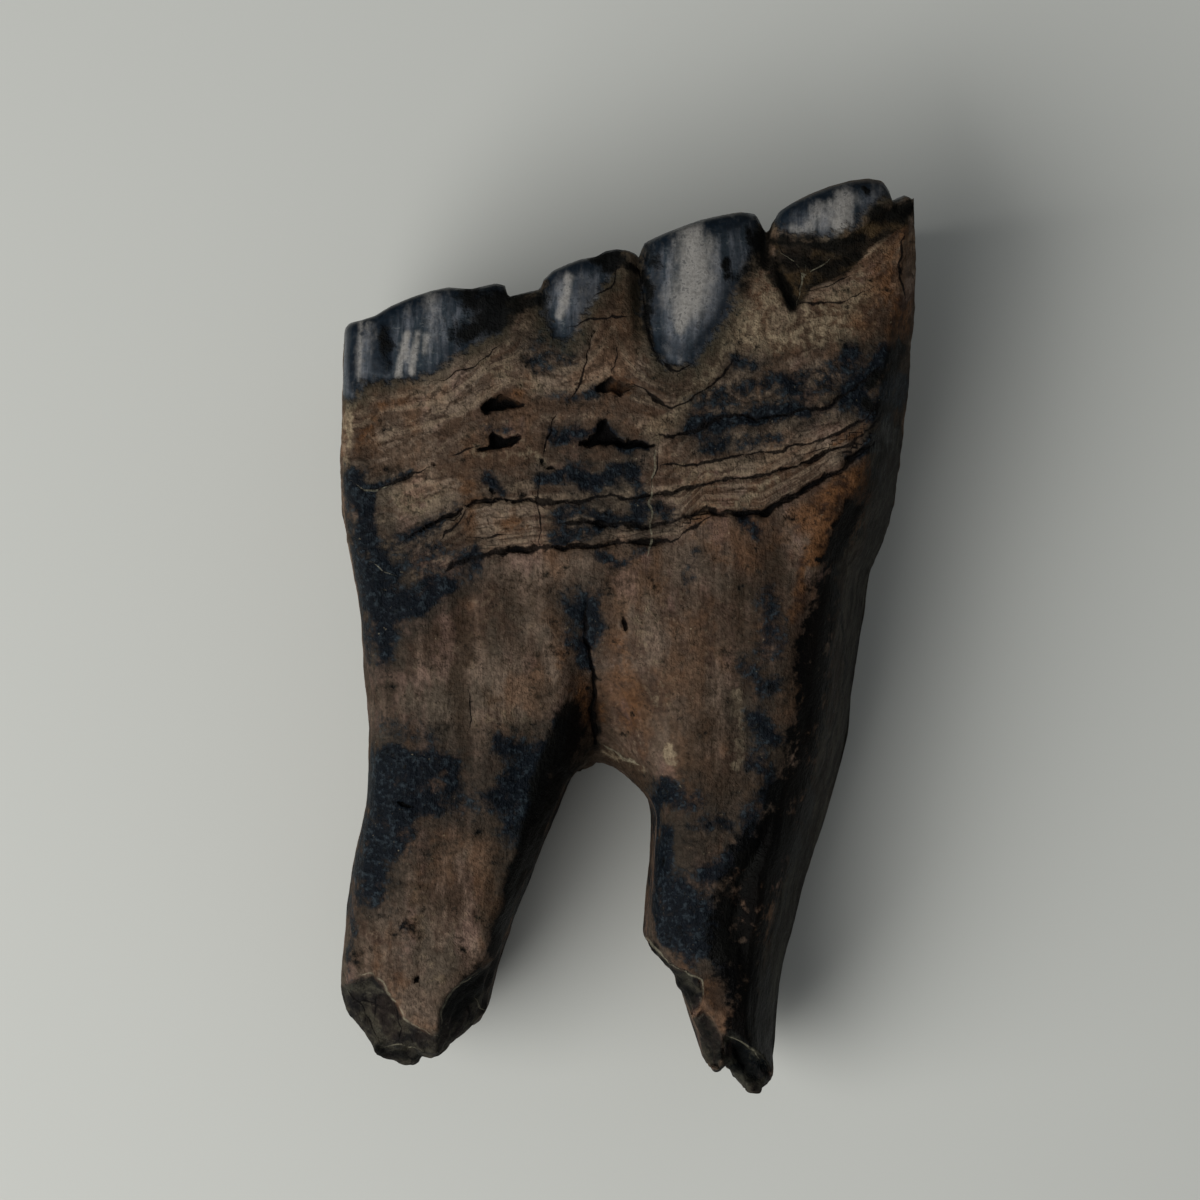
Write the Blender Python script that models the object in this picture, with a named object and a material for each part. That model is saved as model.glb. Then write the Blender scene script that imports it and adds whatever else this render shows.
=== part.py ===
"""A fossil horse cheek tooth lying on its outer side: a worn crown on two long roots, in one solid.

The outline seen from above is a curve that is filled and extruded to a slab. Remesh gives the slab
an even skin, and each of its points is then carried to the tooth's own surface: the upper face and
the underside are heights over the plan, the chewing end and the broken root ends are pushed back
along the tooth, and Decimate leaves the facets that the shape needs.

Lengths below are in millimetres, +X across the tooth, +Y towards the chewing end, +Z up.
"""

import bpy
import numpy as np

MM = 0.001

# Skin of the slab, and the facets that are kept
SLAB_HALF_HEIGHT = 5.0
SKIN_SPACING = 0.24
FACETS = 9600
CURVE_SPACING = 0.22
SHARP_ANGLE = 50.0

# Middle of the finished tooth's box, in the plan that the outline is drawn in
PLAN_CENTRE = (1.37, -2.06)

# Outline, down the left side and up the right. A run is its points, then the upper shoulder (how
# far in it reaches, how far it falls) where the run starts and where it ends
OUTLINE = {
    "crown_left": (
        [(-12.9, 13.95), (-13.05, 13.0), (-13.2, 9.3), (-13.17, 5.1), (-13.0, 3.5)],
        (0.6, 1.2), (0.9, 2.4)),
    "root_left_outer": (
        [(-12.45, 0.2), (-11.95, -4.6), (-11.8, -7.3), (-11.95, -10.3), (-12.5, -12.7),
         (-13.1, -16.8), (-13.4, -18.8), (-13.4, -20.0)],
        (0.9, 2.6), (0.8, 2.2)),
    "root_left_tip": (
        [(-13.25, -20.9), (-12.1, -22.5), (-11.3, -23.8), (-10.5, -24.2), (-9.6, -24.3),
         (-9.3, -23.8), (-8.4, -23.6), (-7.5, -22.9), (-6.4, -22.1), (-5.95, -21.4)],
        (0.5, 1.0), (0.5, 1.0)),
    "root_left_inner": (
        [(-5.6, -19.8), (-4.6, -16.7), (-3.3, -13.5), (-2.1, -10.5), (-1.55, -9.4)],
        (1.2, 4.0), (1.6, 4.2)),
    "fork": (
        [(-0.94, -8.8), (-0.2, -8.5), (0.6, -8.7), (1.9, -9.75)],
        (1.9, 2.4), (1.7, 3.4)),
    "root_right_inner": (
        [(2.62, -10.8), (2.7, -12.6), (2.5, -15.0), (2.34, -17.0)],
        (1.0, 4.2), (0.7, 3.0)),
    "root_right_tip": (
        [(2.4, -17.8), (3.3, -18.7), (3.8, -19.3), (4.5, -21.0), (5.0, -22.4), (5.5, -24.0),
         (6.0, -24.45), (6.45, -24.1), (6.9, -24.8), (7.75, -25.6), (8.55, -25.4), (8.85, -25.0)],
        (0.6, 1.4), (0.6, 1.6)),
    "root_right_outer": (
        [(9.0, -23.6), (9.2, -21.1), (9.9, -17.6), (10.95, -14.0), (12.1, -10.5)],
        (1.3, 3.4), (3.2, 6.0)),
    "neck_right": (
        [(12.85, -7.4), (13.25, -4.2), (13.65, -0.8), (13.95, 1.2), (14.8, 3.2)],
        (3.0, 6.0), (2.9, 6.8)),
    "crown_right": (
        [(15.4, 5.6), (15.65, 7.8), (15.76, 10.1), (15.93, 12.9), (16.15, 15.9), (16.05, 19.4)],
        (2.5, 6.4), (0.6, 1.4)),
}
# Runs whose upper shoulder is a long slope; the others roll over in a quarter ellipse
SLOPED_RUNS = ("root_right_outer", "neck_right", "crown_right")
SLOPE_POWER = 1.45
# Low line of the chewing end, right to left, and its crisp edge above and below
LOW_LINE = [(15.9, 20.15), (14.9, 20.1), (8.4, 18.95), (2.0, 17.25), (-4.5, 15.15), (-12.4, 13.95)]
EDGE_REACH, EDGE_FALL = 0.35, 0.45
# Points over which the shoulders of neighbouring runs are blended
SOFTENED = 15
# How far in the underside's rounding reaches, and how far it rises; it rises less at the fork
UNDER_REACH, UNDER_RISE, FORK_RISE = 3.0, 3.3, 1.0
FORK_HALF_WIDTH, FORK_FADE = 3.4, (-15.0, -10.0)
# Least height between the two faces, and the height below which the underside is made level
THIN_EDGE = 1.0
LEVEL_HEIGHT = 0.02

# Height of the upper face and of the underside along the tooth: (y, z)
UPPER_SPINE = ((-26.0, 9.9), (-21.0, 11.2), (-15.0, 12.5), (-9.0, 13.6), (-3.0, 14.4),
               (3.0, 15.0), (8.0, 15.2), (13.0, 14.9), (17.5, 14.1), (22.0, 13.2))
UNDER_SPINE = ((-26.0, 1.6), (-21.0, 0.15), (-17.0, -0.3), (-11.0, 0.45), (-4.0, 0.75),
               (2.0, 0.4), (8.0, -0.3), (13.0, 0.1), (18.0, 0.9), (22.0, 2.0))
# Middles of the two roots and of the two lobes above them: (y, x)
LEFT_MIDDLE = ((-26.0, -9.6), (-16.0, -9.1), (-6.0, -7.4), (2.0, -6.6), (22.0, -6.2))
RIGHT_MIDDLE = ((-26.0, 7.4), (-16.0, 6.1), (-6.0, 6.6), (2.0, 7.6), (22.0, 9.0))
# Fall of the upper face away from the tooth's middle on the crown, and away from each root's own
# middle below it, and the rise of the underside away from its lobes: (height, at this distance)
CROWN_CROWNING = (0.7, 13.5)
ROOT_CROWNING = (0.55, 3.6)
LOBE_CROWNING = (0.45, 4.0)
# How softly those falls meet halfway between the two middles, and where roots pass into crown
MEETING = 1.5
ROOTS_TO_CROWN = (-8.0, 0.0)

# The furrow that runs down the upper face into the fork: (y, x of its bed, depth)
FURROW = ((-9.5, 0.0, 3.8), (-7.5, -0.1, 2.9), (-5.5, -0.2, 1.7), (-3.5, -0.35, 0.8),
          (-1.5, -0.5, 0.3), (1.0, -0.55, 0.0))
FURROW_WIDTHS = (1.15, 2.3)
# The deep furrow of the underside between its two lobes
UNDER_FURROW_X, UNDER_FURROW_WIDTH, UNDER_FURROW_DEPTH = 0.6, 2.1, 5.2
UNDER_FURROW_FADE = (-9.5, -3.0)

# Chewing edge on the side that faces up, with its cusps and notches: (x, y)
CHEWING_EDGE = (
    (-13.2, 13.9), (-12.1, 14.2), (-11.4, 14.45), (-10.6, 14.95), (-9.6, 15.4), (-8.6, 15.75),
    (-7.7, 15.95), (-6.5, 15.85), (-5.3, 16.1), (-4.8, 15.95), (-4.65, 15.35), (-4.0, 15.55),
    (-3.05, 15.75), (-2.85, 16.3), (-2.4, 16.75), (-1.8, 17.0), (-1.0, 17.3), (-0.2, 17.4),
    (0.3, 17.7), (0.9, 17.8), (1.5, 17.65), (2.0, 17.5), (2.2, 18.1), (3.05, 18.45),
    (4.1, 18.85), (5.1, 19.2), (6.1, 19.45), (7.1, 19.67), (7.9, 19.65), (8.3, 19.3),
    (8.6, 19.25), (9.2, 19.8), (9.9, 20.2), (10.7, 20.6), (11.7, 21.0), (12.7, 21.3),
    (13.7, 21.45), (14.4, 21.35), (14.75, 20.95), (14.9, 20.4), (15.5, 20.6), (15.9, 20.45),
    (16.2, 19.6),
)
# Depths below the upper face between which the cusps die out, and where the worn face begins
CUSP_TOP, CUSP_DEPTH = 0.9, 4.6
WORN_TOP, WORN_DEPTH = 1.1, 2.3
RIM_Y = 17.5

# Notches of the upper face between the cusps: (x, half width, depth, y where they die out)
NOTCHES = ((-4.0, 0.75, 0.75, 13.6), (2.0, 0.34, 0.95, 12.6), (8.45, 0.5, 1.25, 15.2),
           (15.0, 0.35, 0.5, 18.6))
NOTCH_FADE = 4.0
# Enamel that shows below the chewing edge: the cement stops along these lines
ENAMEL_PATCHES = {
    "rear": [(-14.0, 20.0), (-14.0, 10.3), (-12.2, 11.0), (-10.0, 11.1), (-8.5, 11.7),
             (-7.2, 12.8), (-5.8, 13.6), (-4.9, 14.6), (-4.4, 20.0)],
    "small": [(-2.85, 20.0), (-2.85, 14.8), (-2.3, 13.8), (-1.4, 13.8), (-0.5, 15.0),
              (0.3, 16.1), (1.2, 17.2), (1.4, 20.0)],
    "great": [(2.05, 22.0), (2.05, 17.0), (2.35, 14.6), (2.8, 12.6), (3.4, 11.9), (4.2, 11.9),
              (5.3, 12.6), (6.5, 14.6), (7.4, 16.4), (8.3, 18.3), (8.4, 22.0)],
    "front": [(8.7, 22.0), (8.9, 19.0), (9.8, 18.6), (12.6, 18.7), (14.1, 19.4), (14.9, 20.4),
              (15.0, 24.0)],
}
ENAMEL_RECESS, ENAMEL_EDGE = 0.2, (-0.25, 0.3)
# The enamel columns stand out as round ribs: middle, half width and rise, faded in at their feet
RIBS = ((-8.7, 4.0, 0.4), (-1.1, 1.5, 0.35), (4.9, 2.7, 0.55), (11.9, 3.2, 0.45))
RIB_FADE = (-0.7, 1.3)
# A flake lost from the cement below the front cusp
FLAKE = [(8.9, 18.7), (8.6, 17.0), (9.3, 15.2), (10.9, 14.9), (12.6, 15.9), (13.7, 17.2),
         (14.1, 18.3), (12.4, 18.6)]
FLAKE_DEPTH, FLAKE_EDGE = 0.5, (-0.2, 0.4)

# Ledges of the cement's growth lines: each line's points, its lip and the slit under it
LEDGES = (
    ([(-10.8, 1.0), (-8.5, 1.3), (-7.2, 1.8), (-6.3, 2.3), (-4.9, 2.5), (-2.0, 2.7), (1.0, 2.9),
      (4.4, 3.2), (5.6, 3.9), (8.0, 4.5), (10.0, 5.4), (12.0, 6.7), (13.4, 7.9), (14.6, 9.6)],
     0.26, 0.34),
    ([(-10.0, 3.1), (-8.0, 4.5), (-6.3, 5.0), (-3.0, 5.05), (0.0, 5.2), (2.4, 5.2), (5.1, 6.1),
      (8.1, 7.0), (11.5, 8.1), (13.6, 9.6)],
     0.16, 0.24),
    ([(0.3, 8.0), (2.6, 8.1), (5.1, 8.2), (8.0, 9.1), (10.8, 9.5), (13.2, 11.2), (14.8, 13.4)],
     0.14, 0.22),
    ([(-12.2, 5.6), (-10.6, 5.6), (-8.9, 6.5), (-7.1, 7.4), (-5.4, 8.0), (-3.9, 8.4)],
     0.12, 0.16),
    ([(2.0, 11.5), (3.6, 10.1), (5.3, 10.6), (7.1, 11.9), (9.1, 12.3), (11.9, 12.9), (14.0, 14.9)],
     0.12, 0.16),
)
LEDGE_FADE, LEDGE_ENDS, LIP_EDGE = 1.3, 1.5, (-0.25, 0.3)
SLIT_BELOW, SLIT_WIDTH = 0.15, 0.33
# Distance from the outline over which the ledges fade in
LEDGE_MARGIN = (0.3, 1.2)
# Pits in the cement: (x, y, half length, half width, turn in degrees, depth)
PITS = (
    (-4.95, 9.85, 1.05, 0.38, 8.0, 0.55), (-5.0, 8.25, 1.1, 0.34, 16.0, 0.5),
    (0.85, 10.9, 1.05, 0.34, -10.0, 0.45), (0.25, 8.9, 0.5, 0.8, 0.0, 0.6),
    (1.3, 8.15, 1.7, 0.3, -3.0, 0.55), (2.6, -17.55, 0.5, 0.4, 30.0, 0.6),
)
# Soft unevenness of the faces: (height, seed, wavelength), each the sum of this many waves
WAVES, WAVE_SPREAD = 7, (0.7, 1.5)
UPPER_SWELLS = ((0.1, 3, 9.0), (0.05, 5, 3.2))
UNDER_SWELL = (0.12, 11, 7.0)

# Breaks at the root ends. Each is a cut that falls away from a line: (x, y, z) of a point on its
# upper edge, the way it falls in plan, and millimetres of fall for each millimetre along that way
BREAKS = (
    ((-12.6, -19.9, 11.0), (-0.75, -0.66), 1.15),
    ((-10.3, -20.9, 10.5), (-0.35, -0.94), 0.55),
    ((-9.6, -22.6, 9.4), (0.1, -1.0), 2.6),
    ((-7.7, -20.4, 10.6), (0.62, -0.78), 2.3),
    ((3.1, -18.1, 10.9), (-0.62, -0.78), 1.7),
    ((5.2, -19.8, 10.6), (-0.86, -0.5), 1.5),
    ((7.0, -22.6, 9.6), (-0.66, -0.75), 2.0),
    ((8.3, -23.6, 8.6), (0.2, -0.98), 2.4),
)
UNDER_BREAKS = (
    ((-9.0, -21.6, 0.9), (0.15, -0.99), 1.5),
    ((7.6, -22.4, 0.9), (-0.2, -0.98), 1.6),
    ((3.2, -17.8, 1.4), (-0.8, -0.6), 1.2),
)
BREAK_REACH = 6.0
# Hollows of the ends, where the pulp canals come out: (x, z, half width, half height, depth)
CANALS = ((-9.3, 5.8, 1.0, 1.9, 1.7), (6.9, 5.6, 0.8, 1.6, 1.9))
# Where the root ends begin and how far they reach, and the raggedness of their broken faces
ROOT_END_START, ROOT_END_REACH = -17.0, 5.0
RAGGED, RAGGED_SEED, RAGGED_WAVE, RAGGED_STRETCH = 0.35, 21, 4.0, 1.3
RAGGED_BOW, RAGGED_MIDDLE = 0.05, 5.0

# Chewing face: the enamel's loop in (x, z), which stands as a ridge above dentine and cement
ENAMEL_LOOP = [
    (-12.9, 10.2), (-12.7, 12.6), (-10.8, 13.6), (-8.0, 14.0), (-5.4, 13.6), (-4.6, 12.2),
    (-5.8, 11.0), (-8.8, 10.6), (-9.6, 9.6), (-8.2, 8.9), (-4.4, 9.2), (-2.8, 10.8), (-2.6, 13.2),
    (-1.3, 14.0), (0.6, 13.6), (0.7, 11.6), (1.5, 10.6), (2.3, 11.8), (2.5, 13.6), (4.4, 14.3),
    (7.2, 13.9), (7.9, 12.4), (6.4, 11.2), (5.2, 9.8), (6.0, 8.9), (10.0, 9.2), (11.4, 10.6),
    (9.6, 11.8), (9.4, 13.2), (11.4, 14.0), (14.4, 13.3), (15.4, 11.2), (15.3, 7.0), (14.6, 3.6),
    (11.8, 1.7), (7.6, 1.4), (4.2, 2.6), (2.3, 5.0), (1.1, 7.2), (0.0, 5.0), (-1.8, 2.6),
    (-5.4, 1.4), (-9.8, 1.7), (-12.2, 3.6), (-12.9, 6.6),
]
LOOP_SPACING = 0.4
RIDGE_HEIGHT, RIDGE_WIDTH = 0.75, 0.45
DENTINE_BASIN, CEMENT_BASIN, BASIN_RAMP = 0.35, 0.75, 0.9
CHEWING_SINK, CHEWING_TILT = 0.5, 0.05
CHEWING_REACH = 4.5


def smoothstep(value, low, high):
    """0 below low, 1 above high, and a smooth S between them."""
    share = np.clip((value - low) / (high - low), 0.0, 1.0)
    return share * share * (3.0 - 2.0 * share)


def spine(y, knots):
    """Cubic Hermite curve through (y, value) knots, its slopes the differences across each knot."""
    at, value = np.array(knots, float).T
    slope = np.gradient(value, at)
    y = np.clip(y, at[0], at[-1])
    i = np.clip(np.searchsorted(at, y) - 1, 0, len(at) - 2)
    span = at[i + 1] - at[i]
    t = (y - at[i]) / span
    return ((1 + 2 * t) * (1 - t) ** 2 * value[i] + t * (1 - t) ** 2 * span * slope[i]
            + t * t * (3 - 2 * t) * value[i + 1] + t * t * (t - 1) * span * slope[i + 1])


def curve_through(points, spacing, closed):
    """Centripetal Catmull-Rom curve through the points, with a point about every spacing."""
    p = np.array(points, float)
    before, after = (p[-1:], p[:2]) if closed else (2 * p[:1] - p[1:2], 2 * p[-1:] - p[-2:-1])
    p = np.vstack([before, p, after])
    made = []
    for a, b, c, d in zip(p[:-3], p[1:-2], p[2:-1], p[3:]):
        gaps = [np.sqrt(np.linalg.norm(q)) + 1e-9 for q in (b - a, c - b, d - c)]
        k0, k1, k2, k3 = np.cumsum([0.0] + gaps)
        count = max(1, int(round(np.linalg.norm(c - b) / spacing)))
        t = np.linspace(k1, k2, count, endpoint=False)[:, None]
        ab = ((k1 - t) * a + (t - k0) * b) / (k1 - k0)
        bc = ((k2 - t) * b + (t - k1) * c) / (k2 - k1)
        cd = ((k3 - t) * c + (t - k2) * d) / (k3 - k2)
        abc = ((k2 - t) * ab + (t - k0) * bc) / (k2 - k0)
        bcd = ((k3 - t) * bc + (t - k1) * cd) / (k3 - k1)
        made.append(((k2 - t) * abc + (t - k1) * bcd) / (k2 - k1))
    if not closed:
        made.append(p[-2:-1])
    return np.vstack(made)


def outline_curve():
    """The closed outline, its sides with the shoulder at each of their points, and the chewing end."""
    corners, values = [], []
    for name, (points, start, end) in OUTLINE.items():
        corners += points
        share = np.linspace(0.0, 1.0, len(points))[:, None]
        shoulders = np.array(start) + (np.array(end) - np.array(start)) * share
        values += [(*pair, float(name in SLOPED_RUNS)) for pair in shoulders]
    corners, values = np.array(corners), np.array(values)
    plan = curve_through(np.vstack([corners, LOW_LINE]), CURVE_SPACING, True)
    last_of_sides = np.argmin(((plan - corners[-1]) ** 2).sum(1))
    sides, end = plan[:last_of_sides + 1], np.vstack([plan[last_of_sides:], plan[:1]])
    nearest = np.argmin(((sides[:, None] - corners[None]) ** 2).sum(2), axis=1)
    half = SOFTENED // 2
    padded = np.pad(values[nearest], ((half, half), (0, 0)), mode="edge")
    window = np.hanning(SOFTENED)
    soft = [np.average(padded[i:i + SOFTENED], axis=0, weights=window) for i in range(len(sides))]
    return plan, sides, np.array(soft), end


def to_line(x, y, line):
    """Distance of each point to a line of points, the nearest segment, and the place along it."""
    best, where, share = np.full(len(x), 1e9), np.zeros(len(x), int), np.zeros(len(x))
    for i, (start, step) in enumerate(zip(line[:-1], np.diff(line, axis=0))):
        from_x, from_y = x - start[0], y - start[1]
        t = np.clip((from_x * step[0] + from_y * step[1]) / (step @ step), 0.0, 1.0)
        d = np.hypot(from_x - t * step[0], from_y - t * step[1])
        near = d < best
        best[near], where[near], share[near] = d[near], i, t[near]
    return best, where, share


def depth_in(x, y, corners):
    """Distance to a closed ring's edge, positive inside it, which is told by counting crossings."""
    ring = np.vstack([corners, corners[:1]])
    inside = np.zeros(len(x), bool)
    for (ax, ay), (bx, by) in zip(ring[:-1], ring[1:]):
        crosses = (ay > y) != (by > y)
        run = (y - ay) * (bx - ax) / np.where(crosses, by - ay, 1.0)
        inside ^= crosses & (x < ax + run)
    distance = to_line(x, y, ring)[0]
    return np.where(inside, distance, -distance)


def swell(x, y, height, seed, wavelength):
    """Soft lumps up to about this height: a few sine waves in random directions."""
    chance = np.random.default_rng(seed)
    total = np.zeros(len(x))
    for _ in range(WAVES):
        turn, phase = chance.uniform(0, 2 * np.pi, 2)
        waves = chance.uniform(*WAVE_SPREAD) / wavelength
        total += np.sin((x * np.cos(turn) + y * np.sin(turn)) * waves * 2 * np.pi + phase)
    return height * total / 4.0


def rolled(distance, reach):
    """1 at the outline and 0 from this far in, along a quarter ellipse."""
    q = np.clip(distance / reach, 0.0, 1.0)
    return 1.0 - np.sqrt(np.clip(1.0 - (1.0 - q) ** 2, 0.0, 1.0))


def shoulder(distance, reach, fall, sloped):
    """How far the upper face has fallen at this distance in from the sides of the outline."""
    slope = (1.0 - np.clip(distance / reach, 0.0, 1.0)) ** SLOPE_POWER
    return fall * (sloped * slope + (1.0 - sloped) * rolled(distance, reach))


def crown_arch(x):
    """How far the crown's upper face falls away from the middle of the tooth."""
    fall, at = CROWN_CROWNING
    return fall * ((x - PLAN_CENTRE[0]) / at) ** 2


def off_middle(x, y):
    """How far each point is, across the tooth, from the middle of its own root or lobe."""
    left, right = spine(y, LEFT_MIDDLE), spine(y, RIGHT_MIDDLE)
    return np.hypot(x - (left + right) / 2, MEETING) - (right - left) / 2


def low_line(x):
    """The y of the chewing end's low line at x."""
    at, height = np.array([OUTLINE["crown_right"][0][-1], *LOW_LINE, OUTLINE["crown_left"][0][0]]).T
    return np.interp(x, at[::-1], height[::-1])


def chewing_face(x, z):
    """How far the chewing end stands above its low line at (x, z), seen from that end."""
    under = spine(np.array([RIM_Y]), UPPER_SPINE) - crown_arch(x) - z
    at, height = np.array(CHEWING_EDGE).T
    rise = (np.interp(x, at, height) - low_line(x)) * (1.0 - smoothstep(under, CUSP_TOP, CUSP_DEPTH))
    inward = depth_in(x, z, curve_through(ENAMEL_LOOP, LOOP_SPACING, True))
    ridge = RIDGE_HEIGHT * np.exp(-((inward / RIDGE_WIDTH) ** 2))
    basin = np.where(inward > 0, DENTINE_BASIN, CEMENT_BASIN) * smoothstep(abs(inward), 0, BASIN_RAMP)
    worn = ridge - basin - CHEWING_SINK - CHEWING_TILT * under
    return rise + smoothstep(under, WORN_TOP, WORN_DEPTH) * worn


def furrow(x, y):
    """Depth of the furrow that runs down the upper face into the fork, steeper on its left."""
    at, bed, depth = np.array(FURROW).T
    off = x - np.interp(y, at, bed)
    width = np.where(off < 0, *FURROW_WIDTHS)
    return np.interp(y, at, depth) * np.exp(-((off / width) ** 2))


def enamel_ribs(x, y):
    """Ribs of the bare enamel columns, less the step down from the cement that ends round them."""
    bare = np.max([depth_in(x, y, ring) for ring in ENAMEL_PATCHES.values()], axis=0)
    rise = np.zeros(len(x))
    for middle, half, height in RIBS:
        rise = np.maximum(rise, height * (1.0 - ((x - middle) / half) ** 2))
    return rise * smoothstep(bare, *RIB_FADE) - ENAMEL_RECESS * smoothstep(bare, *ENAMEL_EDGE)


def ledges(x, y):
    """Lips and slits of the growth lines: a step up on the crown's side, which fades upwards."""
    total = np.zeros(len(x))
    for points, lip, slit in LEDGES:
        line = curve_through(points, CURVE_SPACING, False)
        above = y - np.interp(x, line[:, 0], line[:, 1])
        start, stop = line[0, 0], line[-1, 0]
        ends = smoothstep(x, start, start + LEDGE_ENDS) * smoothstep(-x, -stop, LEDGE_ENDS - stop)
        step = np.exp(-np.clip(above, 0, None) / LEDGE_FADE) * smoothstep(above, *LIP_EDGE)
        slot = np.exp(-(((above + SLIT_BELOW) / SLIT_WIDTH) ** 2))
        total += ends * (lip * step - slit * slot)
    return total


def pits(x, y):
    """Depth of the pits, each a flat-bottomed oval."""
    total = np.zeros(len(x))
    for at_x, at_y, half_length, half_width, turn, depth in PITS:
        c, s = np.cos(np.radians(turn)), np.sin(np.radians(turn))
        along, over = (x - at_x) * c + (y - at_y) * s, (y - at_y) * c - (x - at_x) * s
        oval = (along / half_length) ** 4 + (over / half_width) ** 2
        total = np.maximum(total, depth * np.exp(-oval))
    return total


def broken(x, y, height, breaks, way):
    """The height cut back by planes: down to each plane where way is -1, up to it where way is 1."""
    for (at_x, at_y, at_z), (fall_x, fall_y), rate in breaks:
        along = (x - at_x) * fall_x + (y - at_y) * fall_y
        plane = at_z + way * rate * along
        cut = np.maximum(height, plane) if way > 0 else np.minimum(height, plane)
        reached = (np.hypot(x - at_x, y - at_y) < BREAK_REACH) & (along > 0)
        height = np.where(reached, cut, height)
    return height


def upper_face(x, y, distance, edge, to_end):
    """Height of the upper face."""
    on_crown = smoothstep(y, *ROOTS_TO_CROWN)
    root_fall, root_at = ROOT_CROWNING
    height = spine(y, UPPER_SPINE) - on_crown * crown_arch(x)
    height -= (1 - on_crown) * root_fall * (off_middle(x, y) / root_at) ** 2
    height -= furrow(x, y)
    for at, half, depth, end in NOTCHES:
        height -= depth * smoothstep(y, end, end + NOTCH_FADE) * np.exp(-(((x - at) / half) ** 2))
    height += enamel_ribs(x, y)
    height -= FLAKE_DEPTH * smoothstep(depth_in(x, y, FLAKE), *FLAKE_EDGE)
    height += ledges(x, y) * smoothstep(distance, *LEDGE_MARGIN) - pits(x, y)
    for lumps in UPPER_SWELLS:
        height += swell(x, y, *lumps)
    height -= shoulder(distance, *edge.T) + EDGE_FALL * rolled(to_end, EDGE_REACH)
    return broken(x, y, height, BREAKS, -1)


def underside(x, y, distance, to_end):
    """Height of the underside: two lobes and a deep furrow between them, flat where it rests."""
    lobe_rise, lobe_at = LOBE_CROWNING
    height = spine(y, UNDER_SPINE) + lobe_rise * (off_middle(x, y) / lobe_at) ** 2
    across = np.exp(-(((x - UNDER_FURROW_X) / UNDER_FURROW_WIDTH) ** 2))
    height += UNDER_FURROW_DEPTH * across * smoothstep(y, *UNDER_FURROW_FADE)
    at_fork = np.exp(-((x / FORK_HALF_WIDTH) ** 2)) * smoothstep(y, *FORK_FADE)
    height += (UNDER_RISE + (FORK_RISE - UNDER_RISE) * at_fork) * rolled(distance, UNDER_REACH)
    height += EDGE_FALL * rolled(to_end, EDGE_REACH) + swell(x, y, *UNDER_SWELL)
    return np.maximum(broken(x, y, height, UNDER_BREAKS, 1), 0.0)


def root_ends(x, y, z):
    """How far the broken ends are pushed back up the roots: ragged, with the pulp canals' mouths."""
    back = swell(x * RAGGED_STRETCH, z, RAGGED, RAGGED_SEED, RAGGED_WAVE)
    back += RAGGED_BOW * abs(z - RAGGED_MIDDLE)
    for at_x, at_z, half_x, half_z, depth in CANALS:
        back += depth * np.exp(-(((x - at_x) / half_x) ** 4 + ((z - at_z) / half_z) ** 4))
    share = np.clip((ROOT_END_START - y) / ROOT_END_REACH, 0.0, 1.0)
    return np.clip(back, 0.0, None) * share * share


def carry(points):
    """Carries the slab's points, in millimetres, to the tooth's surface."""
    x, y, level = points.T.copy()
    _, sides, shoulders, end = outline_curve()
    distance, where, share = to_line(x, y, sides)
    share = share[:, None]
    edge = shoulders[where] * (1 - share) + shoulders[where + 1] * share
    to_end = to_line(x, y, end)[0]
    share_up = np.clip(level / SLAB_HALF_HEIGHT, -1.0, 1.0) * 0.5 + 0.5

    def height(at_y):
        high = upper_face(x, at_y, distance, edge, to_end)
        low = underside(x, at_y, distance, to_end)
        lack = np.clip(THIN_EDGE - (high - low), 0.0, None)
        low = np.maximum(low - lack / 2, 0.0)
        return low + (np.maximum(high, low + THIN_EDGE) - low) * share_up

    z = height(y)
    low = low_line(x)
    y = y + chewing_face(x, z) * smoothstep(y, low - CHEWING_REACH, low)
    y = y + root_ends(x, y, z)
    return np.column_stack([x - PLAN_CENTRE[0], y - PLAN_CENTRE[1], height(y)])


def clear_scene():
    for obj in list(bpy.data.objects):
        bpy.data.objects.remove(obj, do_unlink=True)


def apply_modifiers(obj):
    """Replaces the object's mesh by the one that its modifiers make."""
    bpy.context.view_layer.update()
    graph = bpy.context.evaluated_depsgraph_get()
    mesh = bpy.data.meshes.new_from_object(obj.evaluated_get(graph))
    obj.modifiers.clear()
    obj.data = mesh


def vertex_places(mesh):
    """The mesh's vertices as an array, in millimetres."""
    places = np.empty(len(mesh.vertices) * 3, np.float32)
    mesh.vertices.foreach_get("co", places)
    return places.reshape(-1, 3).astype(float) / MM


def place_vertices(mesh, places):
    mesh.vertices.foreach_set("co", (places * MM).astype(np.float32).ravel())
    mesh.update()


def outline_slab():
    """The outline as a filled, extruded curve, made a mesh with an even skin."""
    plan = outline_curve()[0]
    curve = bpy.data.curves.new("tooth outline", "CURVE")
    curve.dimensions = "2D"
    curve.fill_mode = "BOTH"
    curve.extrude = SLAB_HALF_HEIGHT * MM
    line = curve.splines.new("POLY")
    line.points.add(len(plan) - 1)
    flat_and_weight = np.tile([0.0, 1.0], (len(plan), 1))
    line.points.foreach_set("co", np.hstack([plan * MM, flat_and_weight]).ravel())
    line.use_cyclic_u = True
    guide = bpy.data.objects.new("outline guide", curve)
    bpy.context.scene.collection.objects.link(guide)
    bpy.context.view_layer.update()
    filled = guide.evaluated_get(bpy.context.evaluated_depsgraph_get())
    slab = bpy.data.objects.new("tooth", bpy.data.meshes.new_from_object(filled))
    bpy.data.objects.remove(guide)
    bpy.context.scene.collection.objects.link(slab)
    weld = slab.modifiers.new("close the rims", "WELD")
    weld.merge_threshold = 1e-6
    skin = slab.modifiers.new("even skin", "REMESH")
    skin.mode = "VOXEL"
    skin.voxel_size = SKIN_SPACING * MM
    apply_modifiers(slab)
    return slab


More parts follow.
